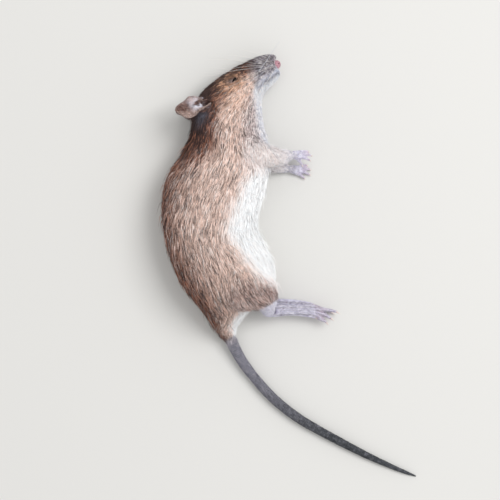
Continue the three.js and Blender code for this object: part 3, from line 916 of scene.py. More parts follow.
def shape_muzzle(skin, normals):
    """Presses in the line of the mouth, rounds the lips and the whisker pads, and makes room
    for the nose."""
    apart = from_mouth(skin)
    lift = -0.5 * bump(apart, 0, 0.2) + 0.14 * bump(apart, 0.5, 0.25)
    for flank in FLANKS.values():
        lift += 0.28 * near(skin, on_body(WHISKER_PAD, flank), 1.7)
        lift -= 0.12 * near(skin, on_body(CHEEK, flank), 1.3)
    room = NOSE_ROOM * near(skin, NOSE_PAD + SNOUT_ONWARD * 1.4, 1.8)
    return skin + normals * lift[:, None] - SNOUT_ONWARD * room[:, None]


def ear_places(points, side):
    """How far out along the ear, how far across it, and how deep in its cup each point lies."""
    root, along_ear, across, opening = ear_axes(side)
    long, wide, cup = EAR[side][3:]
    offset = points - root
    far, over = offset @ along_ear / long, offset @ across / (wide / 2)
    rise = offset @ opening - cup * over**2 * (1 - EAR_FLATTENING * far)
    return far, over, rise, within(points, *node_box(f"ear_{side}"), 0.3)


def shape_ears(skin):
    """Raises the folds inside each ear, and crumples the right one: its front edge stands up
    as a flap with two low swellings behind it, and the outer part bends over into a rounded lobe."""
    for side in FLANKS:
        far, over, rise, here = ear_places(skin, side)
        opening = ear_axes(side)[3]
        folds = sum(0.12 * bump(over - 0.5 * (far - 0.2), place, 0.13) for place in (-0.45, 0.0, 0.42))
        lift = ease(0, 0.25, rise) * folds * bump(far, 0.24, 0.2)
        if side == "right":
            lobe = ease(0.36, 0.66, far)
            lift += 1.3 * ease(0.4, 0.95, over) * ease(0.05, 0.34, far) * (1 - ease(0.42, 0.66, far))
            lift += 0.5 * bump(over, -0.15, 0.35) * bump(far, 0.36, 0.2)
            lift += 0.5 * bump(over, 0.1, 0.3) * bump(far, 0.33, 0.12)
            lift += lobe * (0.6 - 1.9 * ease(0.1, 1.0, -over) - 0.5 * ease(0.2, 1.0, over))
            lift += 0.09 * ripple(skin, 2.0, 41) * ease(0.2, 0.5, far)
        skin = skin + opening * (here * lift)[:, None]
    return skin


def foot_bones(points, side):
    """1 over the bones of the long toes on top of a hind foot, 0 between them, and where both are."""
    sole = curve([row[0] for row in HIND_SOLE[side]])
    apart = np.full(len(points), FAR_AWAY)
    for column, toe in enumerate(TOES[f"hind_{side}"][1:4]):
        start = sole(1.6) + np.array([0, 0.5 * (1 - column), 0])
        line = curve([start, mix(start, np.array(toe[0]), 0.5), *toe[:3]])(np.linspace(0, 4, 60))
        apart = np.minimum(apart, distance_to(points[:, :2], line[:, :2]))
    return bump(apart, 0, 0.24), 1 - ease(0.6, 1.1, apart)


def shape_feet(skin, normals):
    """Raises the bones along the top of each hind foot."""
    for side in FLANKS:
        here = within(skin, *node_box(f"hindfoot_{side}"), 0.3) & (normals[:, 2] > 0.1)
        bones, top = foot_bones(skin[here], side)
        lift = (0.2 * bones - 0.1) * top * ease(0.1, 0.6, normals[here, 2])
        skin[here] += normals[here] * lift[:, None]
    return skin


def toe_ends():
    """The kind of foot, the last joint and the tip of every toe."""
    return [(name.split("_")[0], np.array(toe[-2]), np.array(toe[-1]))
            for name, toes in TOES.items() for toe in toes]


def shape_claw_ends(skin):
    """Draws the skin of each toe back, so that the claw stands out of it."""
    for _, joint, tip in toe_ends():
        length = np.linalg.norm(tip - joint)
        onward = (tip - joint) / length
        offset = skin - joint
        ahead = offset @ onward
        aside = np.linalg.norm(offset - ahead[:, None] * onward, axis=1)
        start = length * CLAW_FROM
        beyond = (ahead > start) & (aside < 0.9) & (ahead < length + 0.8)
        back = np.where(beyond, (ahead - start) * 0.8, 0)
        skin = skin - onward * back[:, None]
    return skin


def make_skin(form, faces, edges, charts):
    """The skin under the coat: its points, normals, flow and fields."""
    normals = unit(smooth(normals_of(form, faces), edges, 3))
    flow, fields = charts.read(form)
    fields = dict(zip(FIELDS, smooth(np.stack(list(fields.values()), 1), edges, 3).T))
    skin = form - normals * (fields["depth"][:, None] + swell_at(form))
    skin = smooth(skin, edges, 2, 0.5, 0.5)
    skin[:, 2] = np.maximum(skin[:, 2], 0.0)
    normals = unit(smooth(normals_of(skin, faces), edges, 2))
    skin = shape_lids(skin)
    skin = shape_muzzle(skin, normals)
    skin = shape_feet(shape_ears(skin), normals)
    skin = shape_claw_ends(skin)
    skin[:, 2] = np.maximum(skin[:, 2], 0.0)
    normals = normals_of(skin, faces)
    flow = unit(flow - normals * dot(flow, normals))
    return skin, normals, flow, fields


# ---------------------------------------------------------------- the coat

COAT_BOTTOM, COAT_TOP = 0.02, CAD_BOX[1][2] / MM + 0.45  # no hair reaches lower or higher
COAT_LAYERS = 8
COAT_TRIANGLES = 1_460_000
LONG = 1.7  # tufts longer than this have a bend in the middle
RIDGE = 0.55  # how high a spike's ridge stands, as a share of half its width
GUARD_SHARE, STRAY_SHARE = 0.08, 0.03
LEADER_SHARE = 0.1  # one tuft in ten leads a lock
LOCKING = 0.32  # how far the tips of a lock draw together
BEND = 0.45  # where a long tuft bends, as a share of its length
ROOT_SINK = 0.04  # how far a tuft's root lies under the skin
PATCH = 0.003  # the side of a tuft's patch on the unwrapped sheet
MARKS = ["white", "back", "grey", "bare", "tail", "rust", "slate"]

# Places where the coat parts and its dark bases show: station, degrees, reach.
PARTINGS = [(7.75, 46, 2.0), (10.3, 86, 1.2), (13.8, 42, 0.8), (3.6, 114, 0.6), (6.0, 65, 0.7)]
CHEEK_PATCH = (5.7, 82)  # the middle of the warm brown behind the eye: station, degrees
# Where the brown of the hind legs ends above the heel: a place on the line, and the way past it.
HEEL_LINE, HEEL_WAY = np.array([-5.0, -11.3]), np.array([0.485, -0.874])

# A spike's faces by their number of corners, how far up each corner is, and where the corners lie
# on the spike's own patch of the unwrapped sheet: across, and from the root to the tip.
SPIKES = {
    "long": {
        "faces": {4: [(0, 1, 4, 3), (1, 2, 5, 4), (2, 0, 3, 5)],
                  3: [(3, 4, 6), (4, 5, 6), (5, 3, 6), (0, 2, 1)]},
        "patch": {4: [(0, 0), (1, 0), (1, 0.5), (0, 0.5)], 3: [(0, 0.5), (1, 0.5), (0.5, 1)]},
        "reach": [0, 0, 0, 0.5, 0.5, 0.5, 1],
        "triangles": 10,
    },
    "short": {
        "faces": {3: [(0, 1, 3), (1, 2, 3), (2, 0, 3), (0, 2, 1)]},
        "patch": {3: [(0, 0), (1, 0), (0.5, 1)]},
        "reach": [0, 0, 0, 1],
        "triangles": 4,
    },
}


def triangles_of(faces):
    return np.array([(face[0], face[i], face[i + 1]) for face in faces for i in range(1, len(face) - 1)])


def sow_roots(skin, triangles, fields, crowd, draw):
    """Places on the skin for the long and the short tufts, closer together where the coat is
    thicker, as many as the triangles allow."""
    corners = skin[triangles]
    sides = corners[:, 1] - corners[:, 0], corners[:, 2] - corners[:, 0]
    area = np.linalg.norm(np.cross(*sides), axis=1) / 2
    wanted = area * crowd[triangles].mean(1)
    bent = fields["length"][triangles].mean(1) > LONG
    cost = wanted * np.where(bent, SPIKES["long"]["triangles"], SPIKES["short"]["triangles"])
    picked, kinds = [], []
    for kind in (True, False):
        chances = wanted * (bent == kind)
        count = int(COAT_TRIANGLES / cost.sum() * chances.sum())
        picked.append(draw.choice(len(triangles), count, p=chances / chances.sum()))
        kinds.append(np.full(count, kind))
    picked, kinds = np.concatenate(picked), np.concatenate(kinds)
    a, b = draw.random(len(picked)), draw.random(len(picked))
    over = a + b > 1
    a, b = np.where(over, 1 - a, a), np.where(over, 1 - b, b)
    return triangles[picked], np.stack([1 - a - b, a, b], 1), kinds


def blend_at(values, corners, shares):
    """Values at corners, blended at places inside triangles."""
    if values.ndim == 1:
        return (values[corners] * shares).sum(1)
    return (values[corners] * shares[..., None]).sum(1)


def turned_about(vectors, axes, angle):
    """Vectors turned about axes that stand square to them."""
    angle = angle[:, None]
    return vectors * np.cos(angle) + np.cross(axes, vectors) * np.sin(angle)


def hairless(skin):
    """0 on the bare nose, between the lips and inside the lids, 1 where hair can grow."""
    free = (np.linalg.norm(skin - NOSE_PAD, axis=1) > BARE_NOSE) * ease(0.1, 0.3, from_mouth(skin))
    for flank in FLANKS.values():
        apart, ring = round_eye(skin, flank, room=(0.3, 0.3))
        free *= np.where(apart < 3, ease(0.95, 1.1, ring), 1)
    return free


def shorten_hair(skin, fields, crowd):
    """Makes the hair shorter and closer round the eyes and at the roots of the ears."""
    for flank in FLANKS.values():
        away = ease(0.9, 3.6, round_eye(skin, flank)[0])
        fields["length"] = fields["length"] * mix(0.25, 1.0, away)
        fields["width"] = fields["width"] * mix(0.6, 1.0, away)
        crowd = crowd * mix(4.0, 1.0, away)
    for side in FLANKS:
        away = ease(1.5, 4.5, np.linalg.norm(skin - ear_axes(side)[0], axis=1))
        fields["length"] = fields["length"] * mix(0.45, 1.0, away)
        crowd = crowd * mix(2.0, 1.0, away)
    return crowd


def lie_of_hair(root, normal, flow, draw):
    """The way each hair lies: along the body, wandering a little from place to place."""
    wander = 0.10 * ripple(root, 9, 11) + 0.09 * ripple(root, 3.2, 12) + 0.06 * ripple(root, 1.5, 13)
    wander = wander + 0.12 * draw.normal(size=len(root))
    return turned_about(unit(flow - normal * dot(flow, normal)), normal, wander)


def size_of_hair(root, normal, field, draw):
    """How long each hair is and how far its tip stands off the skin; guard hairs are longer."""
    count = len(root)
    length = field["length"] * np.exp(0.18 * draw.normal(size=count)) * (1 + 0.1 * ripple(root, 4, 14))
    guard = draw.random(count) < GUARD_SHARE
    stray = draw.random(count) < STRAY_SHARE * (1 - field["bare"])
    length = np.where(guard, length * 1.2, length)
    full = field["depth"] + 0.1
    rise = full * np.clip(draw.normal(0.78, 0.15, count) + 0.1 * ripple(root, 2.6, 15), 0.25, 1.12)
    rise = np.where(guard, full * draw.uniform(0.9, 1.35, count), rise)
    # Strays stand out of the coat, but not over the highest parts, where the coat is pressed down.
    rise += stray * field["length"] * draw.uniform(0.1, 0.3, count) * (1 - ease(0.4, 0.8, normal[:, 2]))
    return length, rise


def bend_over_skin(surface, root, normal, onward, length, rise, bent):
    """Where the middle and the tip of each hair lie over the skin; bent ones follow its curve."""
    def on_skin(points):
        places, ways = np.empty_like(points), np.empty_like(points)
        for i, point in enumerate(points):
            places[i], ways[i] = surface.find_nearest(point)[:2]
        return places, ways

    half_way, way = root + onward * (length * BEND)[:, None], normal.copy()
    half_way[bent], way[bent] = on_skin(half_way[bent])
    further = unit(onward - way * dot(onward, way))
    end, way_out = on_skin(half_way + further * (length * (1 - BEND))[:, None])
    return half_way + way * (rise * 0.75)[:, None], end + way_out * rise[:, None]


def draw_together(root, middle, tip, field, draw):
    """Draws neighbouring hairs together into locks, and says which hair leads each one's lock."""
    leaders = np.flatnonzero(draw.random(len(root)) < LEADER_SHARE)
    tree = tree_of(root[leaders])
    led_by = leaders[[tree.find(p)[1] for p in root]]
    gap = np.linalg.norm(root[led_by] - root, axis=1)
    pull = LOCKING * draw.uniform(0.2, 1.0, len(root)) * bump(gap, 0, 0.5 * field["length"])
    pull = (pull * (1 - 0.7 * field["bare"]))[:, None]
    return mix(middle, middle[led_by], pull * 0.4), mix(tip, tip[led_by], pull), led_by


def grow_tufts(skin, normals, flow, fields, faces, charts):
    """Every tuft's root, middle and tip, its width and its marks, as a dictionary of arrays."""
    draw = np.random.default_rng(7)
    crowd = fields["crowd"] * (1 - 0.5 * ease(0.2, 0.9, -normals[:, 2])) * hairless(skin)
    crowd = shorten_hair(skin, fields, crowd)
    corners, shares, bent = sow_roots(skin, triangles_of(faces), fields, crowd, draw)
    count = len(corners)
    root, normal = blend_at(skin, corners, shares), unit(blend_at(normals, corners, shares))
    field = {name: blend_at(values, corners, shares) for name, values in fields.items()}
    onward = lie_of_hair(root, normal, blend_at(flow, corners, shares), draw)
    length, rise = size_of_hair(root, normal, field, draw)
    surface = BVHTree.FromPolygons(skin.tolist(), faces)
    middle, tip = bend_over_skin(surface, root, normal, onward, length, rise, bent)
    middle, tip, led_by = draw_together(root, middle, tip, field, draw)

    # Hairs of one lock are much the same shade.
    chance, own, lock = draw.random(count), draw.random(count), draw.random(count)[led_by]
    shade = np.clip(0.5 + 0.85 * (own - 0.5) + 0.6 * (lock - 0.5), 0, 1)
    chance = np.where(draw.random(count) < 0.25, chance[led_by], chance)
    # Where brown meets white, brown hairs lie over the white ones.
    field["white"] = field["white"] + 2.4 * field["white"] * (1 - field["white"]) * (own - 0.5)
    return {
        "root": root - normal * ROOT_SINK, "middle": middle, "tip": tip, "normal": normal,
        "onward": onward, "bent": bent, "width": field["width"] * draw.uniform(0.7, 1.3, count),
        "field": field, "sheet": charts.place(root), "chance": chance, "shade": shade,
        "roll": draw.normal(size=count) * 0.4,
    }


def new_mesh(name, points, groups, soft=True):
    """A mesh from points in millimetres and arrays of faces, one for each number of corners."""
    mesh = bpy.data.meshes.new(name)
    mesh.vertices.add(len(points))
    mesh.vertices.foreach_set("co", to_frame(points).astype(np.float32).ravel())
    corners = np.concatenate([group.ravel() for group in groups]).astype(np.int32)
    sizes = np.concatenate([np.full(len(group), group.shape[1]) for group in groups])
    mesh.loops.add(len(corners))
    mesh.loops.foreach_set("vertex_index", corners)
    mesh.polygons.add(len(sizes))
    mesh.polygons.foreach_set("loop_start", np.concatenate([[0], np.cumsum(sizes)[:-1]]).astype(np.int32))
    mesh.update(calc_edges=True)
    mesh.polygons.foreach_set("use_smooth", np.full(len(sizes), soft))
    return mesh


def add_field(mesh, name, values):
    attribute = mesh.attributes.new(name, "FLOAT", "POINT")
    attribute.data.foreach_set("value", np.asarray(values, np.float32))


def add_piece(name, mesh, finish, stands_for=()):
    piece = placed(name, mesh)
    mesh.materials.append(finish)
    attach(piece, "root")
    if stands_for:
        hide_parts(*stands_for)


def coat_layer(name, tufts, chosen, finish):
    """One piece of the coat: closed spikes, the long ones with a ring at the middle."""
    points, groups, patches, reach, order, first = [], [], [], [], [], 0
    for kind, spike in SPIKES.items():
        some = chosen[tufts["bent"][chosen] == (kind == "long")]
        part = {key: value[some] for key, value in tufts.items() if key != "field"}
        aside = turned_about(unit(np.cross(part["normal"], part["onward"])), part["onward"], part["roll"])
        half = (part["width"] / 2)[:, None]
        ring = [-half * aside, half * aside, half * RIDGE * unit(np.cross(part["onward"], aside))]
        rows = [part["root"] + 0.7 * side for side in ring]
        if kind == "long":
            rows += [part["middle"] + 0.9 * side for side in ring]
        rows.append(part["tip"])
        points.append(np.stack(rows, 1).reshape(-1, 3))
        corner = (part["sheet"] - PATCH / 2)[:, None, None, :]
        starts = first + len(rows) * np.arange(len(some))[:, None, None]
        for size, faces in spike["faces"].items():
            groups.append((starts + np.array(faces)).reshape(-1, size))
            laid = corner + PATCH * np.array(spike["patch"][size])[None, None]
            patches.append(np.broadcast_to(laid, (len(some), len(faces), size, 2)).reshape(-1, 2))
        reach.append(np.tile(spike["reach"], len(some)))
        order.append(np.repeat(some, len(rows)))
        first += len(rows) * len(some)
    points, order = np.concatenate(points), np.concatenate(order)
    points[:, 2] = np.clip(points[:, 2], COAT_BOTTOM, COAT_TOP)
    mesh = new_mesh(name, points, groups, soft=False)
    unwrapped = mesh.uv_layers.new(name="OFBake")
    unwrapped.data.foreach_set("uv", np.concatenate(patches).astype(np.float32).ravel())
    add_field(mesh, "reach", np.concatenate(reach))
    for key in ("chance", "shade"):
        add_field(mesh, key, tufts[key][order])
    for key in MARKS:
        add_field(mesh, key, tufts["field"][key][order])
    add_piece(name, mesh, finish)


def add_spot_marks(points, fields):
    """Marks that lie round one place: warm brown round the eyes, dark slate in the partings,
    painted shade along the slit between the lips, and heels like the feet."""
    fields.update(rust=np.zeros(len(points)), slate=np.zeros(len(points)))
    for flank in FLANKS.values():
        place, slit, over, _ = eye_frame(flank)
        raise_to(fields, "rust", bump(round_eye(points, flank)[0], 2.2, 1.9))
        raise_to(fields, "rust", 0.5 * near(points, on_body(CHEEK_PATCH, flank), 5.0))
        raise_to(fields, "grey", 0.9 * near(points, place - slit * 0.8 + over * 0.6, 0.8))
        for *middle, reach in PARTINGS:
            parting = near(points, on_body(middle, flank), reach)
            raise_to(fields, "slate", np.minimum(1.2 * parting, 1))
    for side in FLANKS:
        far, _, rise, here = ear_places(points, side)
        fields["slate"][here & (far > 0.03) & (rise > -0.9)] = 0
    # Painted shade along the slit between the lips.
    raise_to(fields, "slate", 0.9 * bump(from_mouth(points), 0, 0.42))
    heel = ease(-1.9, -0.5, (points[:, :2] - HEEL_LINE) @ HEEL_WAY) * ease(-10.2, -9.0, points[:, 0])
    heel = heel * (1 - ease(0, 12, points[:, 1]))
    raise_to(fields, "bare", heel)
    for name, value in (("back", 0.0), ("grey", 0.0), ("white", 0.0), ("length", 0.9), ("width", 0.085)):
        fields[name] = mix(fields[name], np.minimum(fields[name], value), heel)
    fields["crowd"] = mix(fields["crowd"], np.maximum(fields["crowd"], 28.0), heel)


# ---------------------------------------------------------------- finishes


def tone(text):
    """A colour as written on screen, in the renderer's linear numbers."""
    parts = [int(text[i:i + 2], 16) / 255 for i in (0, 2, 4)]
    return tuple(p / 12.92 if p <= 0.04045 else ((p + 0.055) / 1.055) ** 2.4 for p in parts)


class Signal:
    """A socket of the shader; sums and products of signals add their Math nodes."""

    def __init__(self, tree, socket):
        self.tree, self.socket = tree, socket

    def _math(self, operation, first, second):
        node = self.tree.nodes.new("ShaderNodeMath")
        node.operation = operation
        for slot, value in zip(node.inputs, (first, second)):
            if isinstance(value, Signal):
                self.tree.links.new(value.socket, slot)
            else:
                slot.default_value = value
        return Signal(self.tree, node.outputs[0])

    def __add__(self, other):
        return self._math("ADD", self, other)

    __radd__ = __add__

    def __sub__(self, other):
        return self._math("SUBTRACT", self, other)

    def __rsub__(self, other):
        return self._math("SUBTRACT", other, self)

    def __mul__(self, other):
        return self._math("MULTIPLY", self, other)

    __rmul__ = __mul__

    def at_most(self, limit):
        return self._math("MINIMUM", self, limit)

    def at_least(self, limit):
        return self._math("MAXIMUM", self, limit)

    def under(self, limit):
        return self._math("LESS_THAN", self, limit)

    def wave(self):
        return self._math("SINE", self, 0.0)


class Finish:
    """A material in the making, around one Principled shader."""

    def __init__(self, name, roughness=0.6, **constants):
        self.material = bpy.data.materials.new(name)
        self.material.use_nodes = True
        self.tree = self.material.node_tree
        self.shader = self.tree.nodes["Principled BSDF"]
        self.shader.inputs["Roughness"].default_value = roughness
        for socket, value in constants.items():
            self.shader.inputs[socket.replace("_", " ")].default_value = value

    def node(self, kind, settings=None, inputs=None, output=0):
        """A node of a type, with its settings made first and then its sockets."""
        node = self.tree.nodes.new(kind)
        for name, value in (settings or {}).items():
            setattr(node, name, value)
        for name, value in (inputs or {}).items():
            self.give(node.inputs[name], value)
        return Signal(self.tree, node.outputs[output])

    def give(self, socket, value):
        """Gives a socket a signal, a number, or a colour by its name."""
        if isinstance(value, Signal):
            self.tree.links.new(value.socket, socket)
        else:
            socket.default_value = (*COLOURS[value], 1) if isinstance(value, str) else value

    def field(self, name):
        return self.node("ShaderNodeAttribute", {"attribute_name": name}, output=2)

    def between(self, value, low, high, to_low=0.0, to_high=1.0):
        """value eased from to_low at low to to_high at high."""
        return self.node("ShaderNodeMapRange", {"interpolation_type": "SMOOTHSTEP"},
                         {0: value, 1: low, 2: high, 3: to_low, 4: to_high})

    def blend(self, first, second, share, way="MIX"):
        """Two colours mixed, or joined in another way, by a share."""
        return self.node("ShaderNodeMix", {"data_type": "RGBA", "blend_type": way},
                         {0: share, 6: first, 7: second}, output=2)

    def layered(self, colour, *layers):
        """A colour with others laid over it in turn, each with its share."""
        for layer, share in layers:
            colour = self.blend(colour, layer, share)
        return colour

    def tinted(self, colour, tint, highlight):
        """A colour made darker where tint is under 1, and turned to a highlight where it is over 1."""
        dim = tint.at_most(1.0)
        grey = self.node("ShaderNodeCombineColor", {}, {0: dim, 1: dim, 2: dim})
        return self.blend(self.blend(colour, grey, 1.0, "MULTIPLY"), highlight, (tint - 1) * 1.9)

    def speckle(self, size, detail=2.0, seed=0.0):
        """Soft noise from 0 to 1 with grains of size millimetres."""
        place = self.node("ShaderNodeTexCoord", output=3)
        return self.node("ShaderNodeTexNoise", {"noise_dimensions": "4D"},
                         {"Vector": place, "W": seed, "Scale": 1 / (size * MM), "Detail": detail})

    def creases(self, size, width):
        """0 in the creases between small scales of skin, 1 on the scales."""
        place = self.node("ShaderNodeTexCoord", output=3)
        edges = self.node("ShaderNodeTexVoronoi", {"feature": "DISTANCE_TO_EDGE"},
                          {"Vector": place, "Scale": 1 / (size * MM)})
        return self.between(edges, 0.0, width)

    def surface(self, **inputs):
        for name, value in inputs.items():
            self.give(self.shader.inputs[name.replace("_", " ")], value)
        return self.material

    def bumped(self, height, depth):
        """Relief of depth millimetres from a height of 0 to 1."""
        relief = self.node("ShaderNodeBump", {},
                           {"Strength": 1.0, "Distance": depth * MM, "Height": height})
        self.give(self.shader.inputs["Normal"], relief)


COLOURS = {name: tone(text) for name, text in {
    "pale": "fcf6f3",
    "back": "b17962",
    "flank": "ffe2d4",
    "rust": "f9c8a5",
    "belly": "fafdff",
    "muzzle": "c6c5d6",
    # Slate of the hair's bases in the partings; along the lips it is painted shade.
    "slate": "6a6a76",
    "guard": "3a3437",
    "root": "8a7a72",
    "root_white": "ccd6e3",
    "foot": "e6e4f8",
    "foot_patch": "aea5c4",
    # Painted shade in the grooves between the foot bones.
    "foot_groove_shade": "6f6479",
    "foot_hair": "f4f2ff",
    "toe": "cfb6c3",
    "tail_near": "9c9aa8",
    "tail_far": "4f5358",
    "tail_under": "b9b5c4",
    # Painted shade in the grooves between the tail's rings.
    "tail_ring_shade": "37373f",
    "ear": "a98a7f",
    # The pale skin of the ear's hollow, with a painted highlight.
    "ear_hollow_and_highlight": "e9ecf6",
    "lid": "b3aaa6",
    # Dark rims of the lids and lips, with painted shade in the slits between them.
    "rim_and_slit_shade": "5a3f3e",
    "nose": "cb99a3",
    "nose_patch": "9c6b78",
    # The dark of the nostrils is painted shade inside their openings.
    "nostril": "4a2c30",
    "eye": "0a0807",
    "eye_brown": "1d1310",
    "claw": "cdb9b4",
    "claw_tip": "e9e2dc",
    "claw_streak": "a98f8c",
    "whisker_root": "3a302c",
    "whisker": "efeae4",
    "whisker_pale": "cdd0d8",
    "floor": "dbdad7",
}.items()}


def pelt_colour(finish, marks):
    """The colour of the hair's tips from the marks, shared by the skin and the coat."""
    return finish.layered(
        "flank", ("back", marks["back"]), ("rust", marks["rust"] * 0.75), ("belly", marks["white"]),
        ("muzzle", marks["grey"] * 0.85), ("foot_hair", marks["bare"]),
        ("tail_near", finish.between(marks["tail"], 0.0, 0.45)),
        ("tail_far", finish.between(marks["tail"], 0.5, 1.0)))


def coat_finish():
    finish = Finish("mouse_coat", roughness=0.7, Specular_IOR_Level=0.2)
    marks = {mark: finish.field(mark) for mark in MARKS}
    white, back, grey, bare, tail, rust, slate = marks.values()
    reach, chance, shade = (finish.field(name) for name in ("reach", "chance", "shade"))
    plain = white + bare * 0.6
    # Dark hairs run among the brown, and half of the others have dark tips.
    dark = chance.under(back * 0.28 + grey * 0.14 + 0.09 - rust * 0.15) * (1 - plain) * 0.78
    ticked = finish.between(reach, 0.62, 0.9) * (1 - chance.under(0.5)) * (1 - plain - tail)
    dark = dark.at_least(ticked * 0.6)
    tips = finish.blend(pelt_colour(finish, marks), "guard", finish.between(dark, 0.0, 1.0))
    # Single hairs are lighter or darker than their neighbours.
    spread = finish.between(plain, 0.0, 1.0, 0.88, 0.12) + tail * 0.4 + grey * 0.5 + bare * 0.5
    patches = finish.between(finish.speckle(0.8, seed=3.0), 0.35, 0.65, 0.9 - grey * 0.2, 1.05 + grey * 0.3)
    tint = (1.21 + spread * (0.2 - shade)) * patches
    pale_share = 1 - back * 0.5 - tail * 0.9 - rust * 0.25
    tips = finish.tinted(tips, tint, finish.blend(tips, "pale", pale_share))
    roots = finish.layered("root", ("root_white", finish.between(plain, 0.1, 0.9)), ("tail_far", tail))
    colour = finish.layered(roots, (tips, finish.between(reach, 0.0, 0.45)),
                            # Slate where the coat parts, and painted shade along the slit between the lips.
                            ("slate", slate * (1.3 - shade * 0.9)))
    return finish.surface(Base_Color=colour)


def skin_finish():
    finish = Finish("mouse_skin", roughness=0.55, Specular_IOR_Level=0.4)
    marks = {mark: finish.field(mark) for mark in MARKS}
    ear, tail = finish.field("ear"), marks["tail"]
    under_coat = finish.layered(pelt_colour(finish, marks), ("root", 0.5),
                                ("root_white", marks["white"] * 0.9), ("slate", marks["slate"]))
    naked = finish.layered(
        "foot", ("foot_patch", finish.between(finish.speckle(1.2, 4.0), 0.4, 0.62)),
        # Painted shade in the grooves between the foot bones.
        ("foot_groove_shade", finish.field("groove") * 0.9), ("toe", finish.field("pink")), ("ear", ear),
        # The hollow of the ear: its pale skin, with a painted highlight.
        ("ear_hollow_and_highlight", finish.field("concha_and_highlight")))
    turn = finish.field("ring") * (2 * math.pi / TAIL_RING) + finish.speckle(0.7, seed=5.0) * 3.5
    rings = turn.wave() * 0.5 + 0.5
    # The dark between the rings is painted shade in the grooves of the tail's relief.
    tail_skin = finish.layered("tail_near", ("tail_far", finish.between(tail, 0.5, 1.0)),
                               ("tail_under", finish.field("tail_under") * (1.2 - tail)),
                               ("tail_ring_shade", (1 - rings) * 0.8))
    patches = finish.between(finish.speckle(0.8, seed=6.0), 0.3, 0.7, 0.65, 1.2)
    naked = finish.blend(naked, finish.tinted(tail_skin, patches, "tail_near"),
                         finish.between(tail, 0.0, 0.35))
    naked_share = finish.between(marks["bare"], 0.2, 0.6)
    # The slits of the lids and lips get dark rims: their own colour, with painted shade in the slits.
    colour = finish.layered(under_coat, (naked, naked_share), ("lid", finish.field("lid")),
                            ("rim_and_slit_shade", finish.field("rim_and_slit_shade")))
    on_tail = finish.between(tail, 0.0, 0.3)
    relief = finish.creases(0.32, 0.25) * (1 - on_tail) * (1 - ear * 0.7) + rings * on_tail
    finish.bumped(relief * naked_share, 0.07)
    return finish.surface(Base_Color=colour)


def nose_finish():
    finish = Finish("nose_pad", roughness=0.38, Specular_IOR_Level=0.5)
    patches = finish.between(finish.speckle(0.5, 3.0), 0.35, 0.65)
    finish.bumped(finish.creases(0.16, 0.3), 0.03)
    # The nostrils are painted dark, as painted shade inside them.
    colour = finish.layered("nose", ("nose_patch", patches), ("nostril", finish.field("pit")))
    return finish.surface(Base_Color=colour)


def eye_finish():
    finish = Finish("eye", roughness=0.12, Specular_IOR_Level=0.2)
    depth = finish.between(finish.speckle(0.8, 1.0), 0.3, 0.8)
    return finish.surface(Base_Color=finish.blend("eye", "eye_brown", depth))


def claw_finish():
    finish = Finish("claw", roughness=0.3, Specular_IOR_Level=0.5)
    streaks = finish.between(finish.speckle(0.25, 2.0), 0.5, 0.8, 0.0, 0.5)
    colour = finish.layered("claw", ("claw_tip", finish.field("reach")), ("claw_streak", streaks))
    return finish.surface(Base_Color=colour)


def whisker_finish():
    finish = Finish("whisker", roughness=0.35, Specular_IOR_Level=0.5)
    outward = finish.between(finish.field("reach"), 0.05, 0.45)
    colour = finish.layered("whisker_root", ("whisker", outward), ("whisker_pale", finish.field("pale")))
    return finish.surface(Base_Color=colour)


# ---------------------------------------------------------------- small pieces


def strands(paths, radii, sides):
    """Closed tapering strands, one for each path, as points, faces and how far along each is."""
    points, groups, reaches, first = [], {3: [], 4: []}, [], 0
    turns = np.arange(sides) * 2 * math.pi / sides
    for path, radius in zip(paths, radii):
        count = len(path)
        onward = unit(np.gradient(path, axis=0))
        aside = unit(np.cross(onward, [0.3, 0.2, 0.93]))
        other = np.cross(onward, aside)
        ring = aside[:, None] * np.cos(turns)[:, None] + other[:, None] * np.sin(turns)[:, None]
        rows = path[:, None] + ring * np.asarray(radius)[:, None, None]
        points += [rows.reshape(-1, 3), path[:1], path[-1:]]
        reaches += [np.repeat(np.linspace(0, 1, count), sides), [0.0, 1.0]]
        for row in range(count - 1):
            for side in range(sides):
                a, b = first + row * sides + side, first + row * sides + (side + 1) % sides
                groups[4].append((a, b, b + sides, a + sides))
        start, end = first + count * sides, first + count * sides + 1
        last = first + (count - 1) * sides
        for side in range(sides):
            groups[3].append((first + (side + 1) % sides, first + side, start))
            groups[3].append((last + side, last + (side + 1) % sides, end))
        first += count * sides + 2
    return np.concatenate(points), [np.array(groups[4]), np.array(groups[3])], np.concatenate(reaches)


def add_claws(finish):
    paths, radii = [], []
    t = np.linspace(0, 1, 9)[:, None]
    for kind, joint, tip in toe_ends():
        start = joint + (tip - joint) * (CLAW_FROM * 0.55)
        end = joint + (tip - joint) * CLAW_REACH
        arch = np.array([0, 0, CLAW_ARCH if tip[2] > 0.8 else LOW_CLAW_ARCH])
        path = start + (end - start) * t + arch * (4 * t * (1 - t)) * 0.9
        radius = CLAW_RADII[kind] * (1 - 0.9 * t[:, 0] ** 1.6)
        path[:, 2] = np.maximum(path[:, 2], radius + 0.01)
        paths.append(path)
        radii.append(radius)
    points, groups, reach = strands(paths, radii, CLAW_SIDES)
    mesh = new_mesh("claws", points, groups)
    add_field(mesh, "reach", reach)
    add_piece("claws", mesh, finish)


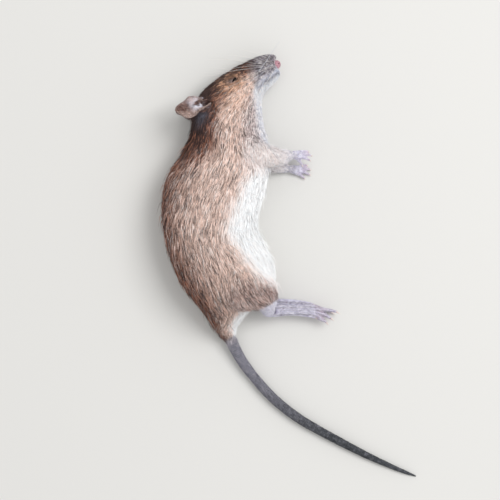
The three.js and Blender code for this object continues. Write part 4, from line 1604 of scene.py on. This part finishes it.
def ball(rings=28, sides=40):
    """A closed unit ball, its poles on the third axis."""
    rise = np.linspace(-math.pi / 2, math.pi / 2, rings + 2)[1:-1]
    turn = np.arange(sides) * 2 * math.pi / sides
    lift, way = np.meshgrid(rise, turn, indexing="ij")
    points = np.stack([np.cos(lift) * np.cos(way), np.cos(lift) * np.sin(way), np.sin(lift)], -1)
    points = np.vstack([points.reshape(-1, 3), [(0, 0, -1), (0, 0, 1)]])
    pairs = [(side, (side + 1) % sides) for side in range(sides)]
    starts = np.arange(rings) * sides
    quads = [(low + s, low + t, high + t, high + s)
             for low, high in zip(starts, starts[1:]) for s, t in pairs]
    last, pole = starts[-1], rings * sides
    caps = [(t, s, pole) for s, t in pairs] + [(last + s, last + t, pole + 1) for s, t in pairs]
    return points, [np.array(quads), np.array(caps)]


def add_eyes(finish):
    for side, flank in FLANKS.items():
        place, slit, over, outward = eye_frame(flank)
        points, groups = ball()
        axes = np.stack([slit, over, outward])
        points = place - outward * EYE_SINK + (points * EYE_RADII) @ axes
        if np.linalg.det(axes) < 0:
            groups = [group[:, ::-1] for group in groups]
        add_piece(f"eyeball_{side}", new_mesh(f"eyeball_{side}", points, groups), finish,
                  stands_for=[f"eye_{side}"])


def add_nose(finish):
    """The bare pad of the nose: two lobes, a groove between them, and a nostril on each side."""
    directions, groups = ball(56, 80)
    axes = np.stack([SNOUT_ONWARD, SNOUT_UP, [0, 0, 1.0]])
    groove = bump(directions[:, 2], 0, 0.1) * ease(-0.1, 0.5, directions[:, 0])
    points = directions * NOSE_REACH
    pit = np.zeros(len(points))
    for flank in FLANKS.values():
        nostril, wing = unit(np.array([NOSTRIL, NOSE_WING]) * (1, 1, flank))
        offset = directions - nostril
        apart = np.hypot(offset[:, 0] * 0.9 + offset[:, 1] * 0.35, offset[:, 1] * 1.6 - offset[:, 0] * 0.3)
        apart = np.hypot(apart, offset[:, 2] * 0.8)
        pit = np.maximum(pit, bump(apart, 0, 0.27))
        points += directions * (0.16 * near(directions, wing, 0.35))[:, None]
    points -= directions * (0.5 * pit**1.5 + 0.13 * groove)[:, None]
    mesh = new_mesh("nose_pad", NOSE_PAD + points @ axes, groups)
    # Where the painted shade of the nostrils lies.
    add_field(mesh, "pit", np.clip(pit * 1.3 - 0.25, 0, 1))
    add_piece("nose_pad", mesh, finish, stands_for=["nose"])


def pad_whiskers(flank, draw):
    """The rows on one pad: the path and the radii of each whisker, and whether it is pale."""
    made = []
    t = np.linspace(0, 1, 11)[:, None]
    for row in range(WHISKER_ROWS):
        for column in range(WHISKERS_IN_ROW):
            station = 1.5 + 0.42 * column + 0.05 * row
            degrees = 62 + 11.5 * row + 2 * column
            root = on_body((station, degrees), flank)
            out = unit((root - on_body((station, degrees + 180), flank)) * (1, 1, 1.4))
            length = 7 + 3.4 * column * draw.uniform(0.75, 1.1)
            lean = unit(out * 0.9 - SNOUT_ONWARD * (0.55 + 0.1 * column)
                        + SNOUT_UP * (0.5 - 0.28 * row) + draw.normal(size=3) * 0.1)
            sweep = -SNOUT_ONWARD * 0.32 * length * t**2 - np.array([0, 0, 0.12 * length]) * t**2
            path = root - out * 0.6 + lean * length * t + sweep
            made.append((path, WHISKER_RADIUS * (1 - 0.85 * t[:, 0]), draw.random() < PALE_SHARE))
    return made


def brow_whiskers(flank):
    """The ones over one eye, as pad_whiskers gives them."""
    made = []
    t = np.linspace(0, 1, 9)[:, None]
    for place in BROW_WHISKERS:
        root = on_body(place, flank)
        out = unit(root - on_body((place[0], place[1] + 180), flank))
        sweep = -SNOUT_ONWARD * 2 * t**2
        path = root - out * 0.5 + unit(out - SNOUT_ONWARD * 0.8) * 7 * t + sweep
        made.append((path, BROW_RADIUS * (1 - 0.85 * t[:, 0]), False))
    return made


def long_whisker():
    """The one that stands up past the nose."""
    t = np.linspace(0, 1, 14)
    return curve(LONG_WHISKER)(t * (len(LONG_WHISKER) - 1)), LONG_RADIUS * (1 - 0.75 * t), True


def add_whiskers(finish):
    draw = np.random.default_rng(23)
    whiskers = []
    for flank in FLANKS.values():
        whiskers += pad_whiskers(flank, draw) + brow_whiskers(flank)
    whiskers.append(long_whisker())
    # Where a whisker would meet the floor it is bent along it.
    for path, radius, _ in whiskers:
        for _ in range(4):
            path[:, 2] = np.maximum(path[:, 2], radius + WHISKER_GAP)
            path[1:-1] = (path[:-2] + 2 * path[1:-1] + path[2:]) / 4
        path[:, 2] = np.maximum(path[:, 2], radius + WHISKER_GAP)
    paths, radii, pale = zip(*whiskers)
    points, groups, reach = strands(paths, radii, WHISKER_SIDES)
    sizes = [len(path) * WHISKER_SIDES + 2 for path in paths]
    mesh = new_mesh("whiskers", points, groups)
    add_field(mesh, "reach", reach)
    add_field(mesh, "pale", np.repeat(np.array(pale, float), sizes))
    add_piece("whiskers", mesh, finish)


# ---------------------------------------------------------------- the mouse


def along_a_line(points, stations):
    """How far along a row of places each point lies, in millimetres."""
    line = curve([row[0] for row in stations])(np.linspace(0, len(stations) - 1, 900))
    travelled = np.concatenate([[0], np.cumsum(np.linalg.norm(np.diff(line, axis=0), axis=1))])
    tree = tree_of(line)
    found = [tree.find(p) for p in points]
    index = np.array([f[1] for f in found])
    onward = unit(np.gradient(line, axis=0))[index]
    return travelled[index] + dot(points - line[index], onward)[:, 0]


def skin_marks(skin, normals):
    """What only the skin shows: the tail's rings, with painted shade in the grooves between them,
    and its underside, the ears and the pale skin of their hollows with a painted highlight, the
    grooves between the foot bones, painted in shade, the pink of the toes, the pale lids, and the
    dark rims of lids and lips, with painted shade in the slits between them."""
    marks = {name: np.zeros(len(skin))
             for name in ["tail_under", "ring", "ear", "concha_and_highlight", "groove", "pink", "lid", "rim_and_slit_shade"]}
    on_tail = skin[:, 1] < TAIL_TOP
    marks["ring"][on_tail] = along_a_line(skin[on_tail], TAIL)
    lower = unit(np.array([0.75, 0.45, -0.55]))
    marks["tail_under"][on_tail] = ease(-0.1, 0.75, normals[on_tail] @ lower)
    for side in FLANKS:
        far, over, rise, here = ear_places(skin, side)
        raise_to(marks, "ear", here * ease(0.05, 0.2, far))
        # The pale skin of the hollow, made brighter as a painted highlight.
        concha_and_highlight = 1.3 * here * bump(far, 0.28, 0.24) * bump(over, 0.1, 0.5) * ease(-0.8, -0.2, rise)
        raise_to(marks, "concha_and_highlight", np.minimum(concha_and_highlight, 1))
        here = within(skin, *node_box(f"hindfoot_{side}"), 0.3)
        bones, top = foot_bones(skin[here], side)
        # Painted shade in the grooves between the foot bones, where the skin is lowered.
        marks["groove"][here] = (1 - bones) * top * ease(0.0, 0.5, normals[here, 2])
    for _, _, tip in toe_ends():
        raise_to(marks, "pink", 0.75 * near(skin, tip, 2.2))
    for flank in FLANKS.values():
        place, slit, over, _ = eye_frame(flank)
        apart, ring = round_eye(skin, flank)
        # A dark rim round the slit of the lids, with painted shade in the slit.
        raise_to(marks, "rim_and_slit_shade", 0.8 * bump(ring, 1.1, 0.22) * (apart < 3))
        raise_to(marks, "lid", 0.8 * near(skin, place - slit * 0.75 + over * 0.5, 0.55))
    # Painted shade along the slit between the lips.
    raise_to(marks, "rim_and_slit_shade", bump(from_mouth(skin), 0, 0.28))
    return marks


def build_mouse():
    form, faces = outer_form()
    charts = make_charts()
    charts.close(BVHTree.FromPolygons(form.tolist(), faces))
    form, faces, edges = finer_net(form, faces)
    skin, normals, flow, fields = make_skin(form, faces, edges, charts)
    groups = [np.array([f for f in faces if len(f) == size]) for size in (3, 4, 5, 6, 7, 8)]
    mesh = new_mesh("skin", skin, [group for group in groups if len(group)])
    add_spot_marks(skin, fields)
    for name in MARKS:
        add_field(mesh, name, fields[name])
    for name, values in skin_marks(skin, normals).items():
        add_field(mesh, name, values)
    add_piece("skin", mesh, skin_finish(), stands_for=BODY_FLESH + SMALL_FLESH)

    tufts = grow_tufts(skin, normals, flow, fields, faces, charts)
    add_spot_marks(tufts["root"], tufts["field"])
    order = np.random.default_rng(31).permutation(len(tufts["root"]))
    coat = coat_finish()
    for layer, chosen in enumerate(np.array_split(order, COAT_LAYERS)):
        coat_layer(f"coat_{layer + 1}", tufts, chosen, coat)
    add_nose(nose_finish())
    add_eyes(eye_finish())
    add_claws(claw_finish())
    add_whiskers(whisker_finish())


# ---------------------------------------------------------------- floor, light and camera

VIEW_CENTRE = np.array([-10.8, 4.2, 9.0])  # where the camera looks, at half the mouse's height
VIEW_ACROSS = 150.0  # how much the camera sees from side to side
CAMERA_RISE = 420.0
FLOOR_REACH = 4.0  # metres


def add_floor():
    finish = Finish("floor", roughness=0.9, Specular_IOR_Level=0.1)
    finish.surface(Base_Color="floor")
    mesh = bpy.data.meshes.new("floor")
    corners = [(FLOOR_REACH * x, FLOOR_REACH * y, 0) for x, y in ((-1, -1), (1, -1), (1, 1), (-1, 1))]
    mesh.from_pydata(corners, [], [(0, 1, 2, 3)])
    floor = placed("floor", mesh)
    mesh.materials.append(finish.material)


def add_lamp(name, place, target, size, power):
    lamp = bpy.data.lights.new(name, "AREA")
    lamp.size, lamp.energy = size, power
    holder = placed(name, lamp)
    holder.location = place
    holder.rotation_euler = (Vector(target) - Vector(place)).to_track_quat("-Z", "Y").to_euler()


def add_light():
    world = bpy.data.worlds.new("studio")
    bpy.context.scene.world = world
    world.use_nodes = True
    world.node_tree.nodes["Background"].inputs["Color"].default_value = (1, 1, 1, 1)
    world.node_tree.nodes["Background"].inputs["Strength"].default_value = 0.72
    add_lamp("window", place=(0.45, 0.25, 0.75), target=(0, 0, 0.01), size=0.5, power=5.0)


def add_camera():
    camera = bpy.data.cameras.new("camera")
    camera.sensor_width = 36.0
    camera.lens = camera.sensor_width * CAMERA_RISE / VIEW_ACROSS
    camera.clip_start, camera.clip_end = 0.01, 20.0
    holder = placed("camera", camera)
    holder.location = to_frame(VIEW_CENTRE + np.array([0, 0, CAMERA_RISE]))
    bpy.context.scene.camera = holder


build_mouse()
add_floor()
add_light()
add_camera()
bpy.context.scene.view_settings.view_transform = "Standard"
